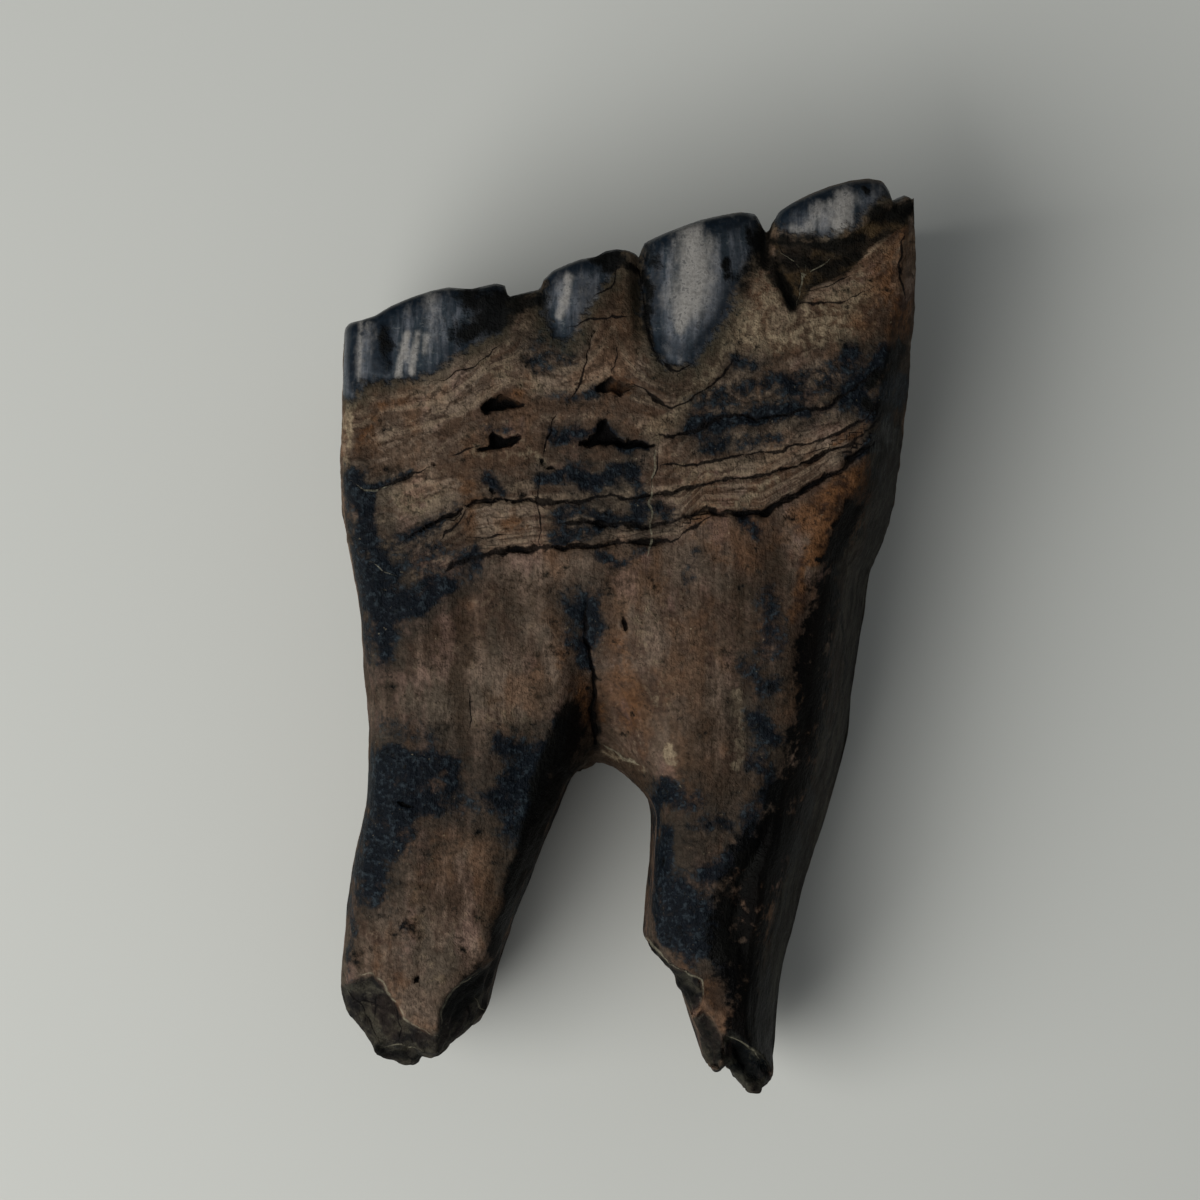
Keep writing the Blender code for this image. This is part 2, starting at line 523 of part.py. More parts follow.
def keep_needed_facets(tooth):
    """Thins the skin to the facets that the shape needs, and levels the spots that it rests on."""
    tooth.data.calc_loop_triangles()
    fewer = tooth.modifiers.new("facets that the shape needs", "DECIMATE")
    fewer.ratio = FACETS / len(tooth.data.loop_triangles)
    fewer.use_collapse_triangulate = True
    apply_modifiers(tooth)
    places = vertex_places(tooth.data)
    places[places[:, 2] < LEVEL_HEIGHT, 2] = 0.0
    place_vertices(tooth.data, places)


def fossil_material():
    """Tan cement stained blue-black, as one plain finish."""
    material = bpy.data.materials.new("fossil_tooth")
    material.use_nodes = True
    surface = material.node_tree.nodes["Principled BSDF"]
    surface.inputs["Base Color"].default_value = (0.17, 0.115, 0.075, 1.0)
    surface.inputs["Roughness"].default_value = 0.48
    surface.inputs["Metallic"].default_value = 0.0
    return material


def build_tooth():
    clear_scene()
    tooth = outline_slab()
    place_vertices(tooth.data, carry(vertex_places(tooth.data)))
    keep_needed_facets(tooth)
    tooth.data.materials.append(fossil_material())
    tooth.data.shade_smooth()
    tooth.data.set_sharp_from_angle(angle=np.radians(SHARP_ANGLE))


build_tooth()
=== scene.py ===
# %% [markdown]
# # A fossil horse tooth
#
# A worn cheek tooth of a horse, found as a fossil: a crown wrapped in layered cement, with four
# columns of blue-black enamel along its chewing edge, on two long roots with broken ends. This
# lesson makes its finished surface around the plain solid that the frame holds. Lengths are in
# millimetres until a mesh is filled, and the frame is in metres.

# %% Open the frame
from types import SimpleNamespace

import bpy
import numpy as np
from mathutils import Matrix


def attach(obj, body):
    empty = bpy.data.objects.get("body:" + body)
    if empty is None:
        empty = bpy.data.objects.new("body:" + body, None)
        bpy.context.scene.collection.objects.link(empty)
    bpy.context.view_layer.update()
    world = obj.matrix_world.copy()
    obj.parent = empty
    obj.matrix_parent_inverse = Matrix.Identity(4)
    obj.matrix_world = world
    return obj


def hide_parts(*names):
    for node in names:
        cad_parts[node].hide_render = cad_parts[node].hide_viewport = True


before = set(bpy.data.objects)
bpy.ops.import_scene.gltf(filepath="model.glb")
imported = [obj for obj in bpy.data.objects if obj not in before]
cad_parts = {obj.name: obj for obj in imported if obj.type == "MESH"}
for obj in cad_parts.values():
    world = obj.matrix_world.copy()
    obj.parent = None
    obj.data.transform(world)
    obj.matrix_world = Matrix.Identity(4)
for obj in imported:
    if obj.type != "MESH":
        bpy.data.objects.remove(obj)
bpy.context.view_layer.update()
MM = 0.001
print("solids in the frame:", sorted(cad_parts))

# %% [markdown]
# ## The camera
#
# The tooth was photographed from straight above, and the picture is square. One number sets the
# scale, millimetres to a pixel at the middle of the tooth's thickness, and the lens follows from
# it. The plan in which the outline is drawn has its origin under the camera, so that a place read
# off the picture needs no shift. The tooth's own box is centred elsewhere, by PLAN_CENTRE.

# %% Place the camera
PICTURE = 1200
MM_PER_PIXEL = 0.052
SCALE_HEIGHT = 8.0
CAMERA_DISTANCE = 220.0
PLAN_CENTRE = (1.37, -2.06)
SENSOR = 36.0


def make_camera():
    data = bpy.data.cameras.new("camera")
    data.sensor_width = SENSOR
    data.lens = SENSOR * CAMERA_DISTANCE / (PICTURE * MM_PER_PIXEL)
    data.clip_start, data.clip_end = 0.01, 10.0
    camera = bpy.data.objects.new("camera", data)
    bpy.context.scene.collection.objects.link(camera)
    x, y = -PLAN_CENTRE[0], -PLAN_CENTRE[1]
    camera.location = (x * MM, y * MM, (SCALE_HEIGHT + CAMERA_DISTANCE) * MM)
    bpy.context.scene.camera = camera
    return camera


camera = make_camera()
print("lens:", round(camera.data.lens, 1), "mm")


def seen(x, y, z):
    """Picture place of a point of the plan: pixels shrink with the distance from the camera."""
    pixels = CAMERA_DISTANCE / (CAMERA_DISTANCE + SCALE_HEIGHT - z) / MM_PER_PIXEL
    return PICTURE / 2 + x * pixels, PICTURE / 2 - y * pixels


# %% [markdown]
# ## Curves and distances
#
# Everything below is a formula over whole arrays of points. The first helpers are the soft edges of
# worn things: a smooth step, the round of an edge, and a spine that gives a height for each y.

# %% Steps and spines


def smoothstep(value, low, high):
    """0 below low, 1 above high, and 3t^2 - 2t^3 between them."""
    t = np.clip((value - low) / (high - low), 0.0, 1.0)
    return t * t * (3.0 - 2.0 * t)


def rolled(distance, reach):
    """1 at an edge and 0 from this far in, along a quarter ellipse."""
    q = np.clip(distance / reach, 0.0, 1.0)
    return 1.0 - np.sqrt(np.clip(1.0 - (1.0 - q) ** 2, 0.0, 1.0))


def spine(y, knots):
    """Cubic Hermite curve through (y, value) knots, its slopes the differences across each knot."""
    at, value = np.array(knots, float).T
    slope = np.gradient(value, at)
    y = np.clip(y, at[0], at[-1])
    i = np.clip(np.searchsorted(at, y) - 1, 0, len(at) - 2)
    span = at[i + 1] - at[i]
    t = (y - at[i]) / span
    return ((1 + 2 * t) * (1 - t) ** 2 * value[i] + t * (1 - t) ** 2 * span * slope[i]
            + t * t * (3 - 2 * t) * value[i + 1] + t * t * (t - 1) * span * slope[i + 1])


print("a quarter of the way up a step:", smoothstep(0.25, 0.0, 1.0))

# %% [markdown]
# Outlines and marks are smooth curves through a few points, which keeps them easy to correct. What
# lies beside a curve is told by two measures: the distance to it, and the depth inside a ring.

# %% Curves through points


def curve_through(points, spacing, closed=False):
    """Centripetal Catmull-Rom curve through the points, with a point about every spacing."""
    p = np.array(points, float)
    before, after = (p[-1:], p[:2]) if closed else (2 * p[:1] - p[1:2], 2 * p[-1:] - p[-2:-1])
    p = np.vstack([before, p, after])
    made = []
    for a, b, c, d in zip(p[:-3], p[1:-2], p[2:-1], p[3:]):
        gaps = [np.sqrt(np.linalg.norm(q)) + 1e-9 for q in (b - a, c - b, d - c)]
        k0, k1, k2, k3 = np.cumsum([0.0] + gaps)
        count = max(1, int(round(np.linalg.norm(c - b) / spacing)))
        t = np.linspace(k1, k2, count, endpoint=False)[:, None]
        ab = ((k1 - t) * a + (t - k0) * b) / (k1 - k0)
        bc = ((k2 - t) * b + (t - k1) * c) / (k2 - k1)
        cd = ((k3 - t) * c + (t - k2) * d) / (k3 - k2)
        abc = ((k2 - t) * ab + (t - k0) * bc) / (k2 - k0)
        bcd = ((k3 - t) * bc + (t - k1) * cd) / (k3 - k1)
        made.append(((k2 - t) * abc + (t - k1) * bcd) / (k2 - k1))
    if not closed:
        made.append(p[-2:-1])
    return np.vstack(made)


def resample(line, count):
    """As many points as asked, evenly spaced along a line of points, its ends kept exactly."""
    steps = np.linalg.norm(np.diff(line, axis=0), axis=1)
    along = np.concatenate([[0.0], np.cumsum(steps)])
    at = np.linspace(0.0, along[-1], count)
    return np.column_stack([np.interp(at, along, line[:, 0]), np.interp(at, along, line[:, 1])])


print("points on a short curve:", len(curve_through([(0, 0), (5, 2), (10, 0)], 0.5)))

# %% Distances to curves


def to_line(x, y, line):
    """Distance of each point to a line of points, the nearest segment, and the place along it."""
    best, where, share = np.full(len(x), 1e9), np.zeros(len(x), int), np.zeros(len(x))
    for i, (start, step) in enumerate(zip(line[:-1], np.diff(line, axis=0))):
        from_x, from_y = x - start[0], y - start[1]
        t = np.clip((from_x * step[0] + from_y * step[1]) / (step @ step), 0.0, 1.0)
        d = (from_x - t * step[0]) ** 2 + (from_y - t * step[1]) ** 2
        near = d < best
        best[near], where[near], share[near] = d[near], i, t[near]
    return np.sqrt(best), where, share


def depth_in(x, y, corners):
    """Distance to a ring's edge, positive inside it, which is told by counting crossings."""
    ring = np.vstack([corners, corners[:1]]).astype(float)
    inside = np.zeros(len(x), bool)
    for (ax, ay), (bx, by) in zip(ring[:-1], ring[1:]):
        crosses = (ay > y) != (by > y)
        run = (y - ay) * (bx - ax) / np.where(crosses, by - ay, 1.0)
        inside ^= crosses & (x < ax + run)
    distance = to_line(x, y, ring)[0]
    return np.where(inside, distance, -distance)


middle = np.array([1.0])
print("depth amid a square:", depth_in(middle, middle, [(0, 0), (2, 0), (2, 2), (0, 2)]))

# %% [markdown]
# ## Chance that repeats
#
# Bone and cement are uneven at every scale. A random field gives that: a fixed random number sits
# at each corner of a lattice, and the numbers between are blended smoothly. Fields of halving size
# are added for crumb and grit. Stretching the lattice gives fibres. The seed makes every run alike.

# %% Random fields


def corner_numbers(corner, seed):
    """A fixed number from -1 to 1 for each lattice corner, mixed from its three whole numbers."""
    mix = corner @ np.array([374761393, 668265263, 1103515245]) + seed * 974634541
    mix = ((mix & 0xFFFFFFFF) ^ ((mix & 0xFFFFFFFF) >> 13)) * 1274126177 & 0xFFFFFFFF
    return (mix ^ (mix >> 16)) / 0x7FFFFFFF - 1.0


def field(places, size, seed, stretch=(1.0, 1.0, 1.0), layers=1):
    """Smooth random field from -1 to 1: lattice numbers blended by smoothstep, sizes halving."""
    total, height = np.zeros(len(places)), 1.0
    for layer in range(layers):
        at = places / (np.array(stretch) * size) * 2.0 ** layer
        low = np.floor(at).astype(np.int64)
        t = at - low
        t = t * t * (3.0 - 2.0 * t)
        part = np.zeros(len(places))
        for corner in np.ndindex(2, 2, 2):
            weight = np.prod(np.where(corner, t, 1.0 - t), axis=1)
            part += weight * corner_numbers(low + np.array(corner), seed + 101 * layer)
        total += height * part
        height *= 0.5
    return total / (2.0 - 2.0 * height)


def flat_field(px, py, size, seed):
    """A random field over the picture, its size in pixels."""
    return field(np.column_stack([px, py, np.zeros(len(px))]), size, seed, layers=2)


print("a field at one place:", field(np.array([(0.3, 0.2, 0.0)]), 1.0, 5).round(3))

# %% [markdown]
# Forms some millimetres wide swell and sink without any edge. A few sine waves in random
# directions give them, and their seed fixes them as well.

# %% Swells
# How many waves, how much their lengths vary, and how many of them in step reach the full height
SWELL_WAVES, SWELL_SPREAD, SWELL_FULL = 7, (0.7, 1.5), 4.0


def swell(x, y, height, seed, wavelength):
    """Soft lumps up to about this height: a few sine waves in random directions."""
    chance = np.random.default_rng(seed)
    total = np.zeros(len(x))
    for _ in range(SWELL_WAVES):
        turn, phase = chance.uniform(0, 2 * np.pi, 2)
        waves = chance.uniform(*SWELL_SPREAD) / wavelength
        total += np.sin((x * np.cos(turn) + y * np.sin(turn)) * waves * 2 * np.pi + phase)
    return height * total / SWELL_FULL


print("swell in mm:", swell(np.array([0.0, 4.0]), np.zeros(2), 0.1, 3, 9.0).round(3))

# %% [markdown]
# ## The outline
#
# Seen from above the tooth is one closed curve: down the left side, round the broken end of the
# left root, up into the fork, down and round the right root, and back up the right side to the
# chewing end. Each run of it also says how the upper face comes down to it, since a root rolls over
# and the crown's right side is a long slope. Drawing the curve through a few points, a millimetre
# or more apart, keeps it smooth where the tooth is smooth and ragged where it is broken.

# %% Draw the outline
SPACING = 0.22
# Each run: its points in the plan, then the upper shoulder (how far in it reaches, how far it
# falls) where the run starts and where it ends
OUTLINE = {
    "crown_left": (
        [(-12.9, 13.95), (-13.05, 13.0), (-13.2, 9.3), (-13.17, 5.1), (-13.0, 3.5)],
        (0.6, 1.2), (0.9, 2.4)),
    "root_left_outer": (
        [(-12.45, 0.2), (-11.95, -4.6), (-11.8, -7.3), (-11.95, -10.3), (-12.5, -12.7),
         (-13.1, -16.8), (-13.4, -18.8), (-13.4, -20.0)],
        (0.9, 2.6), (0.8, 2.2)),
    "root_left_tip": (
        [(-13.25, -20.9), (-12.1, -22.5), (-11.3, -23.8), (-10.5, -24.2), (-9.6, -24.3),
         (-9.3, -23.8), (-8.4, -23.6), (-7.5, -22.9), (-6.4, -22.1), (-5.95, -21.4)],
        (0.5, 1.0), (0.5, 1.0)),
    "root_left_inner": (
        [(-5.6, -19.8), (-4.6, -16.7), (-3.3, -13.5), (-2.1, -10.5), (-1.55, -9.4)],
        (1.2, 4.0), (1.6, 4.2)),
    "fork": (
        [(-0.94, -8.8), (-0.2, -8.5), (0.6, -8.7), (1.9, -9.75)],
        (1.9, 2.4), (1.7, 3.4)),
    "root_right_inner": (
        [(2.62, -10.8), (2.7, -12.6), (2.5, -15.0), (2.34, -17.0)],
        (1.0, 4.2), (0.7, 3.0)),
    "root_right_tip": (
        [(2.4, -17.8), (3.3, -18.7), (3.8, -19.3), (4.5, -21.0), (5.0, -22.4), (5.5, -24.0),
         (6.0, -24.45), (6.45, -24.1), (6.9, -24.8), (7.75, -25.6), (8.55, -25.4), (8.85, -25.0)],
        (0.6, 1.4), (0.6, 1.6)),
    "root_right_outer": (
        [(9.0, -23.6), (9.2, -21.1), (9.9, -17.6), (10.95, -14.0), (12.1, -10.5)],
        (1.3, 3.4), (3.2, 6.0)),
    "neck_right": (
        [(12.85, -7.4), (13.25, -4.2), (13.65, -0.8), (13.95, 1.2), (14.8, 3.2)],
        (3.0, 6.0), (2.9, 6.8)),
    "crown_right": (
        [(15.4, 5.6), (15.65, 7.8), (15.76, 10.1), (15.93, 12.9), (16.15, 15.9), (16.05, 19.4)],
        (2.5, 6.4), (0.6, 1.4)),
}
# Runs whose upper shoulder is a long slope; the others roll over in a quarter ellipse
SLOPED_RUNS = ("root_right_outer", "neck_right", "crown_right")
SLOPE_POWER = 1.45
# Low line of the chewing end, from the right to the left
LOW_LINE = [(15.9, 20.15), (14.9, 20.1), (8.4, 18.95), (2.0, 17.25), (-4.5, 15.15), (-12.4, 13.95)]
print("runs of the outline:", len(OUTLINE))

# %% [markdown]
# The shoulders change from run to run, so each point takes those of the nearest drawn point, and
# a weighted mean over its neighbours makes the change gradual.

# %% Close the outline
# Points of the outline that the mean takes in
SOFTENED = 15


def outline_curve():
    """The closed outline, its sides with the shoulder at each point, and the chewing end."""
    corners, values = [], []
    for name, (points, start, end) in OUTLINE.items():
        corners += points
        share = np.linspace(0.0, 1.0, len(points))[:, None]
        shoulders = np.array(start) + (np.array(end) - np.array(start)) * share
        values += [(*pair, float(name in SLOPED_RUNS)) for pair in shoulders]
    corners, values = np.array(corners), np.array(values)
    plan = curve_through(np.vstack([corners, LOW_LINE]), SPACING, True)
    last_of_sides = np.argmin(((plan - corners[-1]) ** 2).sum(1))
    sides, end = plan[:last_of_sides + 1], np.vstack([plan[last_of_sides:], plan[:1]])
    nearest = np.argmin(((sides[:, None] - corners[None]) ** 2).sum(2), axis=1)
    half = SOFTENED // 2
    padded = np.pad(values[nearest], ((half, half), (0, 0)), mode="edge")
    window = np.hanning(SOFTENED)
    soft = [np.average(padded[i:i + SOFTENED], axis=0, weights=window) for i in range(len(sides))]
    return plan, sides, np.array(soft), end


outline, sides, side_shoulders, end_line = outline_curve()
print("points of the outline:", len(outline))

# %% [markdown]
# ## Upper face
#
# The upper face is the side of the tooth that lay against the tongue. Its height is a sum, and a
# sum of plain formulas is easier to correct against the picture than a sculpted mesh. The large
# forms come first: a spine along the tooth, the arch of the crown, the arch of each root, and the
# furrow between the lobes that runs down into the fork.

# %% Large forms
UPPER_SPINE = ((-26.0, 9.9), (-21.0, 11.2), (-15.0, 12.5), (-9.0, 13.6), (-3.0, 14.4),
               (3.0, 15.0), (8.0, 15.2), (13.0, 14.9), (17.5, 14.1), (22.0, 13.2))
# The middle of each root and of the lobe above it, as (y, x)
LEFT_MIDDLE = ((-26.0, -9.6), (-16.0, -9.1), (-6.0, -7.4), (2.0, -6.6), (22.0, -6.2))
RIGHT_MIDDLE = ((-26.0, 7.4), (-16.0, 6.1), (-6.0, 6.6), (2.0, 7.6), (22.0, 9.0))
# How far each arch has fallen, and at what distance from its middle
CROWN_CROWNING = (0.7, 13.5)
ROOT_CROWNING = (0.55, 3.6)
# How softly the roots' arches meet halfway between their middles, and where roots pass into crown
MEETING = 1.5
ROOTS_TO_CROWN = (-8.0, 0.0)
# The furrow that runs down into the fork: (y, x of its bed, depth), and its width on either side
FURROW = ((-9.5, 0.0, 3.8), (-7.5, -0.1, 2.9), (-5.5, -0.2, 1.7), (-3.5, -0.35, 0.8),
          (-1.5, -0.5, 0.3), (1.0, -0.55, 0.0))
FURROW_WIDTHS = (1.15, 2.3)


def crown_arch(x):
    """How far the crown falls away from the middle of the tooth: a parabola across it."""
    fall, at = CROWN_CROWNING
    return fall * ((x - PLAN_CENTRE[0]) / at) ** 2


def off_middle(x, y):
    """How far each point is, across the tooth, from the middle of its own root or lobe."""
    left, right = spine(y, LEFT_MIDDLE), spine(y, RIGHT_MIDDLE)
    return np.hypot(x - (left + right) / 2, MEETING) - (right - left) / 2


def furrow(x, y):
    """Depth of the furrow, a bell across its bed that is steeper on the left."""
    at, bed, depth = np.array(FURROW).T
    off = x - np.interp(y, at, bed)
    width = np.where(off < 0, *FURROW_WIDTHS)
    return np.interp(y, at, depth) * np.exp(-((off / width) ** 2))


print("fall of the crown 12 mm off its middle:", round(crown_arch(12.0 + PLAN_CENTRE[0]), 2), "mm")

# %% [markdown]
# Smaller forms are written as the picture shows them, in its own pixels, and seen() turns a point
# of the tooth into such a place. Along the chewing edge enamel is bare inside four rings, one for
# each column. The columns stand out as round ribs, with notches between them, and their enamel
# lies a little lower than the cement that laps over it.

# %% Enamel columns
ENAMEL = {
    "rear": [(330, 270), (330, 402), (356, 400), (361, 385), (380, 384), (396, 382), (412, 379),
        (428, 376), (440, 370), (456, 358), (470, 346), (486, 338), (499, 333), (507, 316), (511, 298),
        (510, 270)],
    "small": [(541, 240), (541, 300), (546, 322), (556, 338), (566, 342), (577, 331), (588, 313),
        (600, 293), (611, 277), (622, 267), (624, 240)],
    "great": [(642, 210), (642, 300), (646, 330), (653, 351), (664, 364), (678, 369), (692, 364),
        (704, 351), (716, 335), (726, 318), (734, 300), (740, 282), (747, 268), (757, 252), (761, 232),
        (761, 190)],
    "front": [(767, 190), (769, 221), (777, 227), (788, 236), (803, 239), (822, 239), (838, 236),
        (850, 231), (859, 222), (867, 211), (876, 203), (886, 199), (894, 196), (896, 165)],
}
ENAMEL_RECESS = 0.2
# Where that recess begins and where it is full, in pixels inside the ring
ENAMEL_EDGE = (-5.0, 6.0)
# Ribs: middle of each in plan, half width, rise; and the depth inside the enamel at which they fade in
RIBS = ((-8.7, 4.0, 0.4), (-1.1, 1.5, 0.35), (4.9, 2.7, 0.55), (11.9, 3.2, 0.45))
RIB_FADE = (-14.0, 26.0)
# Notches between the columns: (x, half width, depth, y where they die out)
NOTCHES = ((-4.0, 0.75, 0.75, 13.6), (2.0, 0.34, 0.95, 12.6), (8.45, 0.5, 1.25, 15.2),
           (15.0, 0.35, 0.5, 18.6))
NOTCH_FADE = 4.0


def bare_enamel(px, py):
    """Depth inside the bare enamel, in pixels, negative outside: the deepest of the four rings."""
    return np.max([depth_in(px, py, ring) for ring in ENAMEL.values()], axis=0)


def ribs(x, enamel):
    """Rise of the enamel columns: a parabola across each, faded in from below the bare enamel."""
    total = np.zeros(len(x))
    for middle, half, rise in RIBS:
        total = np.maximum(total, rise * (1.0 - ((x - middle) / half) ** 2))
    return total * smoothstep(enamel, *RIB_FADE)


def notches(x, y):
    """Depth of the notches between the columns: bells that fade in towards the chewing end."""
    total = np.zeros(len(x))
    for at, half, depth, end in NOTCHES:
        total += depth * smoothstep(y, end, end + NOTCH_FADE) * np.exp(-(((x - at) / half) ** 2))
    return total


print("columns:", len(ENAMEL), "notches:", len(NOTCHES))

# %% [markdown]
# On the right the face turns down along a ridge, with a groove beyond it and a long roll beyond
# that. The roots are not plain arches either, since bone grows in long soft rolls. Each such form
# is a bell across a line, so a short table holds them all.

# %% Ridge and rolls
RIDGE = [(912, 200), (905, 290), (890, 400), (858, 470), (835, 520), (812, 570), (797, 620),
         (790, 680), (790, 720), (770, 780), (750, 840), (728, 880), (722, 920), (735, 980),
         (745, 1090)]
# Each: how far beyond the ridge, half width, rise in mm. They fade in and out over these runs of
# the picture's y, the second one counted upwards
RIDGE_FORMS = ((14.0, 9.0, -0.3), (42.0, 12.0, 0.22), (-10.0, 10.0, 0.1))
RIDGE_START, RIDGE_STOP = (300, 420), (-1050, -980)
# Long soft hollows and rolls of the roots, in picture pixels: points, half width, rise in mm
ROLLS = (
    ([(463, 590), (463, 680), (460, 800)], 15, -0.16),
    ([(412, 620), (405, 720), (400, 860)], 20, 0.12),
    ([(500, 610), (505, 700), (490, 800)], 17, 0.12),
    ([(560, 700), (545, 740), (530, 790), (518, 850), (506, 900), (490, 950)], 12, 0.16),
    ([(440, 850), (430, 930), (420, 1000)], 14, -0.1),
    ([(660, 640), (690, 740), (690, 860), (700, 960)], 18, 0.12),
    ([(735, 640), (742, 740), (728, 840)], 14, -0.12),
    ([(640, 570), (632, 640), (640, 700)], 16, 0.1),
    ([(370, 700), (385, 760), (372, 850)], 12, -0.12),
)
UPPER_SWELLS = ((0.08, 3, 9.0),)


def rolls(px, py):
    """Soft forms: bells across the ridge's neighbours on the right, and across each long roll."""
    line = np.array(RIDGE, float)
    beyond = px - np.interp(py, line[:, 1], line[:, 0])
    run = smoothstep(py, *RIDGE_START) * smoothstep(-py, *RIDGE_STOP)
    total = sum(rise * np.exp(-(((beyond - at) / half) ** 2)) for at, half, rise in RIDGE_FORMS) * run
    for points, half, rise in ROLLS:
        distance = to_line(px, py, np.array(points, float))[0]
        total += rise * np.exp(-((distance / half) ** 2))
    return total


print("rolls and hollows:", len(ROLLS) + len(RIDGE_FORMS))

# %% [markdown]
# The crown's cement was laid down in layers, and they end one below the other. The growth share
# runs from 0 at the enamel to 1 at the foot of the crown, so a low saw-tooth in it makes a faint
# step at the end of each layer, and later on it colours them.

# %% Growth layers
# Where the layered cement of the crown ends: its foot. Then how its layers run: how many, how
# high, how uneven, and the size of that unevenness in pixels
CROWN_FOOT = [(320, 600), (400, 592), (446, 574), (476, 556), (530, 549), (620, 543), (680, 538),
              (704, 513), (762, 512), (800, 491), (858, 455), (889, 424), (930, 370)]
LAYERS, LAYER_STEP, LAYER_UNEVEN, LAYER_UNEVEN_SIZE = 11, 0.07, 0.5, 60.0
# Where a step falls back to the next layer, and the shares at which the steps fade in and out
LAYER_BACK, LAYERS_IN, LAYERS_OUT = 0.8, (0.0, 0.1), (0.93, 1.0)


def growth(px, py, enamel):
    """0 at the enamel's lower edge and 1 at the foot of the crown: share of the way between."""
    foot = np.array(CROWN_FOOT, float)
    above = np.clip(np.interp(px, foot[:, 0], foot[:, 1]) - py, 0.0, None)
    below = np.clip(-enamel, 0.0, None)
    return below / (below + above + 1e-6)


def layer_steps(px, py, enamel):
    """Cement ends layer by layer: a low saw-tooth in the growth share, with an uneven spacing."""
    share = growth(px, py, enamel)
    uneven = LAYER_UNEVEN * flat_field(px, py, LAYER_UNEVEN_SIZE, 51)
    saw = np.mod(share * LAYERS + uneven, 1.0)
    fade = smoothstep(share, *LAYERS_IN) * (1.0 - smoothstep(share, *LAYERS_OUT))
    return LAYER_STEP * (saw - smoothstep(saw, LAYER_BACK, 1.0)) * fade


print("layers:", LAYERS, "each", LAYER_STEP, "mm high")

# %% [markdown]
# A few growth lines are far stronger: a layer has chipped along them, which leaves a lip over a
# slit. They are drawn one by one. Real edges crumble, so the places are first pushed about by a
# fine random field, which makes whatever is drawn there run unevenly.

# %% Growth lines
# Each line: points, lip and slit depth in mm, slit half width in pixels
LEDGES = {
    "lower": ([(446, 574), (455, 566), (466, 559), (476, 556), (500, 551), (530, 549), (560, 547),
        (590, 545), (620, 543), (650, 541), (680, 538)], 0.24, 0.36, 3.0),
    "lower_right": ([(560, 524), (600, 522), (640, 526), (665, 524), (688, 515), (704, 511), (722, 513),
        (745, 513), (762, 512), (782, 502), (800, 491), (822, 479), (840, 468), (858, 455), (874, 443),
        (889, 424)], 0.24, 0.38, 3.2),
    "branch": ([(679, 540), (686, 531), (699, 524), (712, 516)], 0.12, 0.24, 2.2),
    "upper": ([(403, 541), (415, 533), (432, 524), (450, 516), (466, 506), (476, 501), (500, 500),
        (535, 500), (565, 502), (585, 500), (603, 496), (640, 498), (668, 494), (690, 487), (712, 482),
        (745, 478), (790, 467), (822, 455), (850, 443), (872, 425), (890, 402)], 0.16, 0.28, 2.3),
    "middle": ([(660, 466), (690, 463), (720, 458), (755, 453), (790, 448), (820, 441), (846, 430),
        (868, 416), (886, 396)], 0.1, 0.16, 1.6),
    "smear": ([(655, 436), (680, 433), (702, 426), (722, 417), (742, 414), (762, 419), (782, 416),
        (802, 409), (830, 404), (856, 389), (880, 366)], 0.14, 0.24, 2.4),
    "left": ([(356, 486), (368, 491), (384, 488), (398, 481), (412, 474), (430, 468)], 0.1, 0.18, 1.8),
    "tail": ([(452, 456), (462, 452), (472, 447), (482, 446)], 0.05, 0.18, 1.8),
    "under_great": ([(634, 384), (646, 392), (658, 402), (670, 406), (684, 403), (700, 393), (716, 380),
        (730, 364), (744, 350)], 0.1, 0.16, 1.6),
}
# How far in pixels a lip fades upwards, and a line's ends fade out
LIP_FADE, LEDGE_ENDS = 26.0, 26.0
# How far the crumbling pushes, its size, the size of a growth line's weak and strong patches, how
# strong a line is on average, how much that varies, and its limits
CRUMBLE, CRUMBLE_SIZE, LEDGE_PATCH = 3.6, 12.0, 26.0
LEDGE_MEAN, LEDGE_VARIES, LEDGE_LIMITS = 0.8, 0.9, (0.2, 1.3)


def crumbled(px, py):
    """Picture places pushed about by a fine random field, so that what is drawn runs unevenly."""
    return (px + CRUMBLE * flat_field(px, py, CRUMBLE_SIZE, 53),
            py + CRUMBLE * flat_field(px, py, CRUMBLE_SIZE, 54))


def ledges(px, py):
    """Lip and slit of each growth line: a step up on the crown's side that fades upwards."""
    total = np.zeros(len(px))
    px, py = crumbled(px, py)
    patches = flat_field(px, py, LEDGE_PATCH, 52)
    uneven = np.clip(LEDGE_MEAN + LEDGE_VARIES * patches, *LEDGE_LIMITS)
    for points, lip, slit, half in LEDGES.values():
        line = curve_through(points, 6.0)
        above = np.interp(px, line[:, 0], line[:, 1]) - py
        start, stop = line[0, 0], line[-1, 0]
        ends = smoothstep(px, start, start + LEDGE_ENDS) * smoothstep(-px, -stop, LEDGE_ENDS - stop)
        step = np.exp(-np.clip(above, 0, None) / LIP_FADE) * smoothstep(above, -half, 2 * half)
        total += ends * (lip * step - slit * np.exp(-((above / half) ** 2)))
    return total * uneven


print("growth lines:", len(LEDGES))
